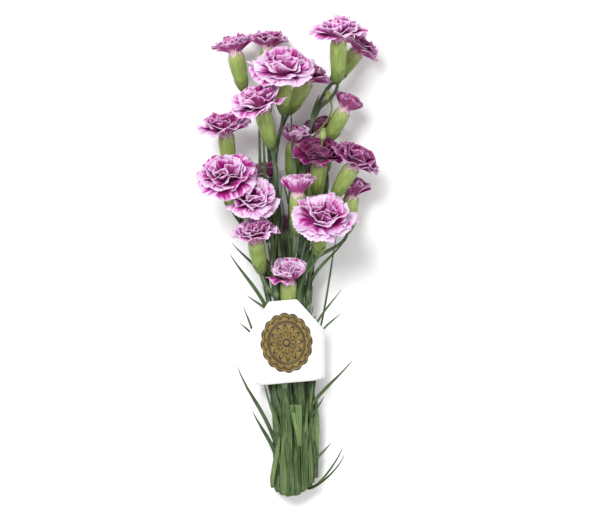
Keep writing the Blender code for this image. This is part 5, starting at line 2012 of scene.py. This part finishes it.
class Graph:
    """A short way to add linked nodes to a node tree."""

    def __init__(self, tree: Tree) -> None:
        """Takes the node tree to fill."""
        self.tree = tree

    def put(self, target: Socket, value: object) -> None:
        """Sets a socket to a value, or links it to another socket.

        Args:
            target: The input socket.
            value: A number, a colour, a vector or an output socket.
        """
        if isinstance(value, Socket):
            self.tree.links.new(value, target)
        elif target.type == "RGBA":
            target.default_value = (*value, 1.0)
        else:
            target.default_value = value

    def node(self, kind: str, inputs: dict[object, object], **options: object) -> Node:
        """Adds a node.

        Args:
            kind: The node's type, without its first words.
            inputs: Values for its inputs, by name or number.
            options: Settings of the node itself.

        Returns:
            The node.
        """
        made = self.tree.nodes.new("ShaderNode" + kind)
        for name, value in options.items():
            setattr(made, name, value)
        for key, value in inputs.items():
            self.put(made.inputs[key], value)
        return made

    def math(self, operation: str, a: object, b: object = 0.0, c: object = 0.0) -> Socket:
        """Adds a step of arithmetic on up to three values."""
        return self.node("Math", {0: a, 1: b, 2: c}, operation=operation).outputs[0]

    def times(self, a: object, b: object) -> Socket:
        """Adds the product of two values."""
        return self.math("MULTIPLY", a, b)

    def scaled(self, value: object, factor: object, plus: object) -> Socket:
        """Adds a value times a factor, plus another value."""
        return self.math("MULTIPLY_ADD", value, factor, plus)

    def mix(self, factor: object, a: object, b: object) -> Socket:
        """Adds a mix of two colours, with so much of the second as the factor says."""
        return self.node("Mix", {0: factor, 6: a, 7: b}, data_type="RGBA").outputs[2]

    def ranged(
        self, value: object, low: float, high: float, to_low: float = 0.0, to_high: float = 1.0
    ) -> Socket:
        """Maps the values from low to high smoothly onto those from to_low to to_high."""
        inputs = {0: value, 1: low, 2: high, 3: to_low, 4: to_high}
        return self.node("MapRange", inputs, interpolation_type="SMOOTHSTEP").outputs[0]

    def ramp(self, factor: object, stops: Stops) -> Socket:
        """Adds a colour ramp.

        Args:
            factor: Where on the ramp.
            stops: Its places and colours.

        Returns:
            The colour's socket.
        """
        made = self.node("ValToRGB", {0: factor})
        elements = made.color_ramp.elements
        while len(elements) < len(stops):
            elements.new(0.5)
        for element, (place, colour) in zip(elements, stops):
            element.position = place
            element.color = (*colour, 1.0)
        return made.outputs[0]

    def noise(self, vector: object, scale: object, detail: float) -> Socket:
        """Adds a noise texture that is read at a vector."""
        return self.node("TexNoise", {"Vector": vector, "Scale": scale, "Detail": detail}).outputs[0]

    def parts(self, name: str) -> tuple[Socket, ...]:
        """Reads the three per-point values of a piece that go by a name."""
        made = self.node("Attribute", {}, attribute_name=name)
        return tuple(self.node("SeparateXYZ", {0: made.outputs["Vector"]}).outputs)

    def joined(self, x: object, y: object, z: object) -> Socket:
        """Joins three values to a vector."""
        return self.node("CombineXYZ", {0: x, 1: y, 2: z}).outputs[0]

    def group(self, tree: Tree, inputs: dict[object, object]) -> tuple[Socket, Socket]:
        """Places a shared effect and gives its two outputs."""
        return tuple(self.node("Group", inputs, node_tree=tree).outputs)


@dataclass
class Effects:
    """The effects that several finishes share, each a node group built once."""

    streaks: Tree = field(init=False)
    mottle: Tree = field(init=False)

    def __post_init__(self) -> None:
        """Builds the groups."""
        self.streaks = self.build_streaks()
        self.mottle = self.build_mottle()

    def blank(
        self, name: str, inputs: Sequence[str], outputs: Sequence[str]
    ) -> tuple[Graph, Sequence[Socket], Sequence[Socket]]:
        """Makes an empty group whose sockets are all numbers.

        Args:
            name: Its name.
            inputs: The names of its inputs.
            outputs: The names of its outputs.

        Returns:
            Its graph, the sockets that bring its inputs, and those that take its outputs.
        """
        tree = bpy.data.node_groups.new(name, "ShaderNodeTree")
        for way, labels in (("INPUT", inputs), ("OUTPUT", outputs)):
            for label in labels:
                tree.interface.new_socket(label, in_out=way, socket_type="NodeSocketFloat")
        start = tree.nodes.new("NodeGroupInput")
        end = tree.nodes.new("NodeGroupOutput")
        return Graph(tree), start.outputs[: len(inputs)], end.inputs[: len(outputs)]

    def build_streaks(self) -> Tree:
        """Builds the streaks that run along petals, stems and leaves.

        Returns:
            The group.
        """
        names = ("Along", "Across", "Seed", "Fineness")
        graph, (along, across, seed, fineness), (streak, vein) = self.blank(
            "long_streaks", names, ("Streak", "Vein")
        )
        shifted = graph.scaled(seed, 37.0, graph.times(across, fineness))
        fan = graph.joined(shifted, along, graph.times(seed, 11.0))
        graph.put(streak, graph.ranged(graph.noise(fan, 1.0, 4.0), 0.30, 0.70))
        graph.put(vein, graph.ranged(graph.noise(fan, 3.1, 2.0), 0.42, 0.62))
        return graph.tree

    def build_mottle(self) -> Tree:
        """Builds the patchiness and fine grain of natural and paper surfaces.

        Returns:
            The group.
        """
        names = ("Patch Scale", "Grain Scale")
        graph, (patch_scale, grain_scale), (patch, grain) = self.blank(
            "soft_mottle", names, ("Patch", "Grain")
        )
        place = graph.node("TexCoord", {}).outputs["Object"]
        graph.put(patch, graph.ranged(graph.noise(place, patch_scale, 3.0), 0.32, 0.68))
        graph.put(grain, graph.ranged(graph.noise(place, grain_scale, 2.0), 0.30, 0.70))
        return graph.tree


class Finish:
    """A material as it is built: its graph, its surface shader and the shared effects."""

    def __init__(self, name: str, effects: Optional[Effects] = None) -> None:
        """Makes a material that holds only its surface shader.

        Args:
            name: The material's name.
            effects: The shared effects.
        """
        self.material = bpy.data.materials.new(name)
        self.material.use_nodes = True
        self.graph = Graph(self.material.node_tree)
        self.shader = self.material.node_tree.nodes["Principled BSDF"]
        self.effects = effects

    def mottled(self, patch_scale: float, grain_scale: float) -> tuple[Socket, Socket]:
        """Places the mottle, which gives a patch and a grain."""
        inputs = {"Patch Scale": patch_scale, "Grain Scale": grain_scale}
        return self.graph.group(self.effects.mottle, inputs)

    def streaked(self, along: Socket, across: Socket, seed: Socket, fineness: float) -> tuple[Socket, Socket]:
        """Places the streaks, which give a streak and a vein."""
        inputs = {"Along": along, "Across": across, "Seed": seed, "Fineness": fineness}
        return self.graph.group(self.effects.streaks, inputs)

    def give(self, **values: object) -> None:
        """Sets or links inputs of the surface shader, with spaces for the underlines in their names."""
        for name, value in values.items():
            self.graph.put(self.shader.inputs[name.replace("_", " ")], value)

    def finished(
        self,
        colour: Socket,
        rough: Socket,
        low: float,
        high: float,
        height: Socket,
        depth: float,
        much: float,
    ) -> Material:
        """Links what every surface has: its colour, its roughness and its fine relief.

        Args:
            colour: Its colour.
            rough: The value that its roughness follows.
            low: The roughness at 0.
            high: The roughness at 1.
            height: The value that raises it.
            depth: The height of that value's full range, in metres.
            much: How much of the relief shows.

        Returns:
            The material.
        """
        self.give(Base_Color=colour, Roughness=self.graph.ranged(rough, 0.0, 1.0, low, high))
        bump = self.graph.node("Bump", {"Height": height, "Distance": depth, "Strength": much})
        self.give(Normal=bump.outputs[0])
        return self.material


@dataclass(frozen=True)
class PetalFinish:
    """Petals: white claws, a magenta heart that streaks outward, and pale margins."""

    pale: Stops = (
        (0.00, (0.80, 0.82, 0.62)),
        (0.12, (0.84, 0.74, 0.78)),
        (0.19, (0.48, 0.08, 0.29)),
        (0.27, (0.27, 0.003, 0.12)),
        (0.60, (0.30, 0.006, 0.16)),
        (0.73, (0.47, 0.060, 0.33)),
        (0.86, (0.66, 0.31, 0.60)),
        (1.00, (0.80, 0.62, 0.81)),
    )
    dark: Stops = (
        (0.00, (0.68, 0.68, 0.48)),
        (0.10, (0.56, 0.24, 0.38)),
        (0.20, (0.14, 0.003, 0.055)),
        (0.62, (0.11, 0.002, 0.050)),
        (0.80, (0.19, 0.010, 0.11)),
        (0.93, (0.30, 0.045, 0.21)),
        (1.00, (0.48, 0.19, 0.42)),
    )
    back: Colour = (0.80, 0.40, 0.68)
    veins: Colour = (0.30, 0.02, 0.16)
    rim: Colour = (0.84, 0.66, 0.82)

    def build(self, effects: Effects) -> Material:
        """Builds the material.

        Args:
            effects: The shared effects.

        Returns:
            The material.
        """
        finish = Finish("petal_magenta_and_pink", effects)
        graph = finish.graph
        along, across, under = graph.parts("place")
        seed, ring, tone = graph.parts("look")
        streak, vein = finish.streaked(along, across, seed, 5.5)
        shifted = graph.scaled(graph.math("SUBTRACT", streak, 0.5), 0.40, along)
        shifted = graph.scaled(graph.math("SUBTRACT", seed, 0.5), 0.30, shifted)
        shifted = graph.scaled(ring, -0.20, shifted)
        shifted = graph.scaled(graph.math("SUBTRACT", tone, 0.25), -0.30, shifted)
        shifted = graph.scaled(graph.times(across, across), 0.10, shifted)
        placed = graph.math("MINIMUM", shifted, 1.0)
        placed = graph.times(placed, graph.ranged(along, 0.02, 0.24))
        light, deep = graph.ramp(placed, self.pale), graph.ramp(placed, self.dark)
        colour = graph.mix(graph.ranged(tone, 0.35, 0.95), light, deep)
        colour = graph.mix(graph.times(under, 0.14), colour, self.back)
        colour = graph.mix(graph.times(vein, 0.16), colour, self.veins)
        rim = graph.ranged(along, 0.92, 1.0, 0.0, 0.28)
        rim = graph.times(rim, graph.ranged(tone, 0.3, 0.9, 1.0, 0.25))
        colour = graph.mix(rim, colour, self.rim)
        finish.give(Specular_IOR_Level=0.18, Sheen_Weight=0.05, Sheen_Roughness=0.45)
        finish.give(Subsurface_Weight=0.08, Subsurface_Radius=(1.0, 0.35, 0.6), Subsurface_Scale=0.0012)
        return finish.finished(colour, vein, 0.50, 0.64, vein, 0.00025, 0.5)


@dataclass(frozen=True)
class GreenFinish:
    """A waxy green surface, streaked and patchy; on a stem its joints are paler."""

    name: str
    shade: Colour
    light: Colour
    accent: Colour
    deep: Colour
    roughness: float
    fineness: float
    wax: float
    spread: float = 0.50
    contrast: float = 2.0
    vein: float = 0.55
    bloom: Colour = (0.40, 0.52, 0.44)

    def build(self, effects: Effects) -> Material:
        """Builds the material.

        Args:
            effects: The shared effects.

        Returns:
            The material.
        """
        finish = Finish(self.name, effects)
        graph = finish.graph
        along, across, third = graph.parts("place")
        seed, kind, _ = graph.parts("look")
        streak, vein = finish.streaked(along, across, seed, self.fineness)
        patch, grain = finish.mottled(55.0, 900.0)
        mixed = graph.scaled(streak, 0.45, graph.times(patch, 0.15))
        mixed = graph.math("POWER", graph.scaled(seed, self.spread, mixed), self.contrast)
        colour = graph.mix(mixed, self.shade, self.light)
        for share, tint in self.tints(graph, along, across, third, kind):
            colour = graph.mix(share, colour, tint)
        colour = graph.mix(graph.times(vein, self.vein), colour, self.deep)
        colour = graph.mix(graph.times(graph.times(patch, grain), self.wax), colour, self.bloom)
        finish.give(Specular_IOR_Level=0.28)
        low, high = self.roughness - 0.08, self.roughness + 0.10
        return finish.finished(colour, grain, low, high, vein, 0.0003, 0.6)

    def tints(
        self, graph: Graph, along: Socket, across: Socket, third: Socket, kind: Socket
    ) -> list[tuple[Socket, Colour]]:
        """Lists the tints that the place on a stem gives: its swollen joints are paler."""
        return [(graph.times(third, 0.40), self.accent)]


@dataclass(frozen=True)
class CalyxFinish(GreenFinish):
    """The calyx: yellow-green, darker at its foot and bracts, pale at its teeth (their own colour), and
    painted pale inside its mouth as painted light against the shade between its wall and the claws.
    """

    def tints(
        self, graph: Graph, along: Socket, across: Socket, third: Socket, kind: Socket
    ) -> list[tuple[Socket, Colour]]:
        """Lists the calyx's tints.

        Args:
            graph: The material's graph.
            along: From foot to mouth.
            across: Round the calyx; not used by the calyx.
            third: From the notch to the tip of a tooth; not used by the calyx.
            kind: Whether it is a bract.

        Returns:
            How much of each tint shows, and its colour.
        """
        return [
            (graph.ranged(along, 0.30, 0.0), self.deep),
            # Pale towards the mouth: the teeth's own pale green, and on the cup's inner wall painted light
            # that cancels the shade in the gap round the claws.
            (graph.times(graph.ranged(along, 0.72, 1.0), 0.7), self.accent),
            (graph.times(kind, 0.45), self.deep),
        ]


@dataclass(frozen=True)
class LeafFinish(GreenFinish):
    """The leaf: dark green with fine long veins, a pale keel and a paler underside."""

    def tints(
        self, graph: Graph, along: Socket, across: Socket, third: Socket, kind: Socket
    ) -> list[tuple[Socket, Colour]]:
        """Lists the tints of the leaf's keel, underside, root and tip.

        Args:
            graph: The material's graph.
            along: From root to tip.
            across: From side to side.
            third: Whether it is the underside.
            kind: Not used by leaves.

        Returns:
            How much of each tint shows, and its colour.
        """
        return [
            (graph.ranged(graph.math("ABSOLUTE", across), 0.22, 0.0, 0.0, 0.55), self.accent),
            (graph.times(third, 0.18), self.accent),
            (graph.ranged(along, 0.18, 0.0, 0.0, 0.25), self.accent),
            (graph.ranged(along, 0.80, 1.0, 0.0, 0.7), self.deep),
        ]


@dataclass(frozen=True)
class PlainFinish:
    """A plain mottled surface between two colours: the white card, or the dusty natural rubber."""

    name: str
    first: Colour
    second: Colour
    patch_scale: float
    grain_scale: float
    roughness: Pair
    grain_depth: float
    shares: Optional[Pair] = None

    def build(self, effects: Effects) -> Material:
        """Builds the material.

        Args:
            effects: The shared effects.

        Returns:
            The material.
        """
        finish = Finish(self.name, effects)
        mixed, grain = finish.mottled(self.patch_scale, self.grain_scale)
        if self.shares:
            mixed = finish.graph.scaled(mixed, self.shares[0], finish.graph.times(grain, self.shares[1]))
        colour = finish.graph.mix(mixed, self.first, self.second)
        return finish.finished(colour, grain, *self.roughness, grain, self.grain_depth, 0.5)


@dataclass(frozen=True)
class FoilFinish:
    """Satin olive gold with a pattern of dark lines."""

    gold: Colour = (0.17, 0.110, 0.025)
    bright: Colour = (0.26, 0.180, 0.045)
    ink: Colour = (0.016, 0.010, 0.005)
    rings: tuple[Pair, ...] = ((0.71, 0.022), (0.655, 0.012), (0.115, 0.030), (0.975, 0.026))

    def pattern(self, graph: Graph) -> Socket:
        """Draws the rosette, its rings and its border of scallops.

        Args:
            graph: The material's graph.

        Returns:
            The mask of the dark lines.
        """
        x, y, _ = graph.parts("look")
        radius = graph.math("SQRT", graph.scaled(x, x, graph.times(y, y)))
        angle = graph.math("ARCTAN2", y, x)
        scallop = graph.math("ABSOLUTE", graph.math("COSINE", graph.times(angle, 8.0)))
        petal = graph.math("ABSOLUTE", graph.math("COSINE", graph.times(angle, 6.0)))
        border = graph.scaled(scallop, 0.11, 0.78)
        flower = graph.scaled(graph.math("POWER", petal, 0.7), 0.44, 0.15)
        inner = graph.scaled(graph.math("POWER", petal, 0.9), 0.24, 0.13)
        mask = None
        for at, half in ((border, 0.020), (flower, 0.036), (inner, 0.026), *self.rings):
            off = graph.math("ABSOLUTE", graph.math("SUBTRACT", radius, at))
            line = graph.ranged(off, half * 1.35, half * 0.75)
            mask = line if mask is None else graph.math("MAXIMUM", mask, line)
        spokes = graph.ranged(scallop, 0.22, 0.12)
        inside = graph.times(graph.ranged(radius, 0.775, 0.785), graph.ranged(radius, 0.90, 0.89))
        return graph.math("MAXIMUM", mask, graph.times(spokes, inside))

    def build(self, effects: Effects) -> Material:
        """Builds the material.

        Args:
            effects: The shared effects.

        Returns:
            The material.
        """
        finish = Finish("gold_foil_with_dark_lines", effects)
        graph = finish.graph
        patch, grain = finish.mottled(160.0, 1500.0)
        ink = self.pattern(graph)
        colour = graph.mix(ink, graph.mix(patch, self.gold, self.bright), self.ink)
        finish.give(Metallic=graph.ranged(ink, 0.0, 1.0, 0.30, 0.0))
        raised = graph.math("SUBTRACT", graph.times(grain, 0.2), ink)
        return finish.finished(colour, grain, 0.34, 0.48, raised, 0.0002, 0.6)


@dataclass(frozen=True)
class FloorFinish:
    """The plain pale floor."""

    pale: Colour = (0.97, 0.97, 0.97)

    def build(self) -> Material:
        """Builds the material.

        Returns:
            The material.
        """
        finish = Finish("pale_floor")
        finish.give(Base_Color=self.pale, Roughness=0.9)
        return finish.material


STEM = GreenFinish(
    name="stem_green",
    shade=(0.010, 0.030, 0.009),
    light=(0.23, 0.33, 0.150),
    accent=(0.28, 0.36, 0.16),
    deep=(0.015, 0.035, 0.012),
    roughness=0.40,
    fineness=4.2,
    wax=0.20,
)
CALYX = CalyxFinish(
    name="calyx_green",
    shade=(0.22, 0.31, 0.060),
    light=(0.44, 0.54, 0.16),
    # accent: the pale teeth, and the painted light inside the calyx's mouth.
    accent=(0.49, 0.58, 0.22),
    deep=(0.09, 0.14, 0.03),
    roughness=0.38,
    fineness=4.0,
    wax=0.05,
)
LEAF = LeafFinish(
    name="leaf_green",
    shade=(0.004, 0.014, 0.003),
    light=(0.24, 0.37, 0.110),
    accent=(0.20, 0.30, 0.11),
    deep=(0.012, 0.028, 0.008),
    roughness=0.38,
    fineness=7.0,
    wax=0.12,
)
CARD = PlainFinish(
    name="white_card",
    first=(0.88, 0.88, 0.875),
    second=(0.80, 0.80, 0.79),
    patch_scale=38.0,
    grain_scale=1400.0,
    roughness=(0.62, 0.80),
    grain_depth=0.00008,
    shares=(0.25, 0.25),
)
RUBBER = PlainFinish(
    name="natural_rubber",
    first=(0.52, 0.36, 0.17),
    second=(0.66, 0.50, 0.29),
    patch_scale=90.0,
    grain_scale=1100.0,
    roughness=(0.55, 0.72),
    grain_depth=0.0001,
)


@dataclass(frozen=True)
class Studio:
    """The pale floor, the soft lights and the camera straight above the photograph's middle."""

    middle: Pair = (12.2, 215.7)
    width: float = 561.6
    aim_height: float = 50.0
    distance: float = 3.2
    sensor: float = 36.0
    floor_half: float = 4.0
    sky: float = 0.50
    lit_point: Point = (0.0, 0.0, 0.03)
    lights: tuple[tuple[str, Point, float, float], ...] = (
        ("key", (-0.55, 0.75, 2.0), 0.8, 42.0),
        ("fill", (1.3, -0.2, 1.7), 1.6, 10.0),
        ("foot", (-0.5, -1.5, 1.4), 1.2, 8.0),
    )

    def place(self, name: str, data: bpy.types.ID) -> Piece:
        """Puts a new object that holds some data into the scene.

        Args:
            name: The object's name.
            data: Its mesh, light or camera.

        Returns:
            The object.
        """
        made = bpy.data.objects.new(name, data)
        bpy.context.scene.collection.objects.link(made)
        return made

    def lay_floor(self) -> None:
        """Lays the pale floor under the bunch."""
        mesh = bpy.data.meshes.new("pale_floor")
        half = self.floor_half
        corners = [(-half, -half, 0), (half, -half, 0), (half, half, 0), (-half, half, 0)]
        mesh.from_pydata(corners, [], [[0, 1, 2, 3]])
        mesh.materials.append(FloorFinish().build())
        self.place("pale_floor", mesh)

    def hang_lights(self) -> None:
        """Hangs the soft lights under a pale sky."""
        world = bpy.data.worlds.new("soft_sky")
        world.use_nodes = True
        background = world.node_tree.nodes["Background"]
        background.inputs[0].default_value = (1.0, 1.0, 1.0, 1.0)
        background.inputs[1].default_value = self.sky
        bpy.context.scene.world = world
        for name, place, size, power in self.lights:
            light = bpy.data.lights.new(name, "AREA")
            light.size = size
            light.energy = power
            lamp = self.place(name, light)
            lamp.location = place
            lamp.rotation_euler = (Vector(self.lit_point) - Vector(place)).to_track_quat("-Z", "Y").to_euler()

    def set_camera(self) -> None:
        """Sets the camera straight above the photograph's middle."""
        data = bpy.data.cameras.new("camera")
        data.sensor_width = self.sensor
        data.lens = self.sensor * self.distance / (self.width * MM)
        camera = self.place("camera", data)
        middle = (np.array([*self.middle, self.aim_height]) + layout_shift()) * MM
        camera.location = (middle[0], middle[1], middle[2] + self.distance)
        bpy.context.scene.camera = camera

    def build(self) -> None:
        """Sets up the floor, the lights and the camera."""
        self.lay_floor()
        self.hang_lights()
        self.set_camera()
        bpy.context.scene.view_settings.view_transform = "Standard"


def report(piece: Piece) -> None:
    """Logs one piece."""
    LOG.info("%s: %d faces", piece.name, len(piece.data.polygons))


def main() -> None:
    """Builds every piece of the bunch, in order."""
    logging.basicConfig(level=logging.INFO, format="%(name)s: %(message)s")
    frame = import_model()
    bunch = Bunch()
    bunch.settle()
    fitted = BloomFitter(bunch).fit()
    LOG.info("layout settled and fitted")
    effects = Effects()
    petal = PetalFinish().build(effects)
    greens = [finish.build(effects) for finish in (STEM, CALYX, LEAF)]
    for number, spray in enumerate(spray_names()):
        report(SprayPiece(spray, bunch, number).build(greens))
    for number, head in enumerate(bunch.heads):
        report(BloomPiece(head, fitted[head.bloom.name], number).build(petal))
    report(CardBand().build(CARD.build(effects)))
    report(GoldSeal().build(FoilFinish().build(effects)))
    tie = frame["nodes"]["elastic_tie"]
    tie.material_slots[0].material = RUBBER.build(effects)
    report(tie)
    Studio().build()
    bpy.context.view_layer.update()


if __name__ == "__main__":
    main()
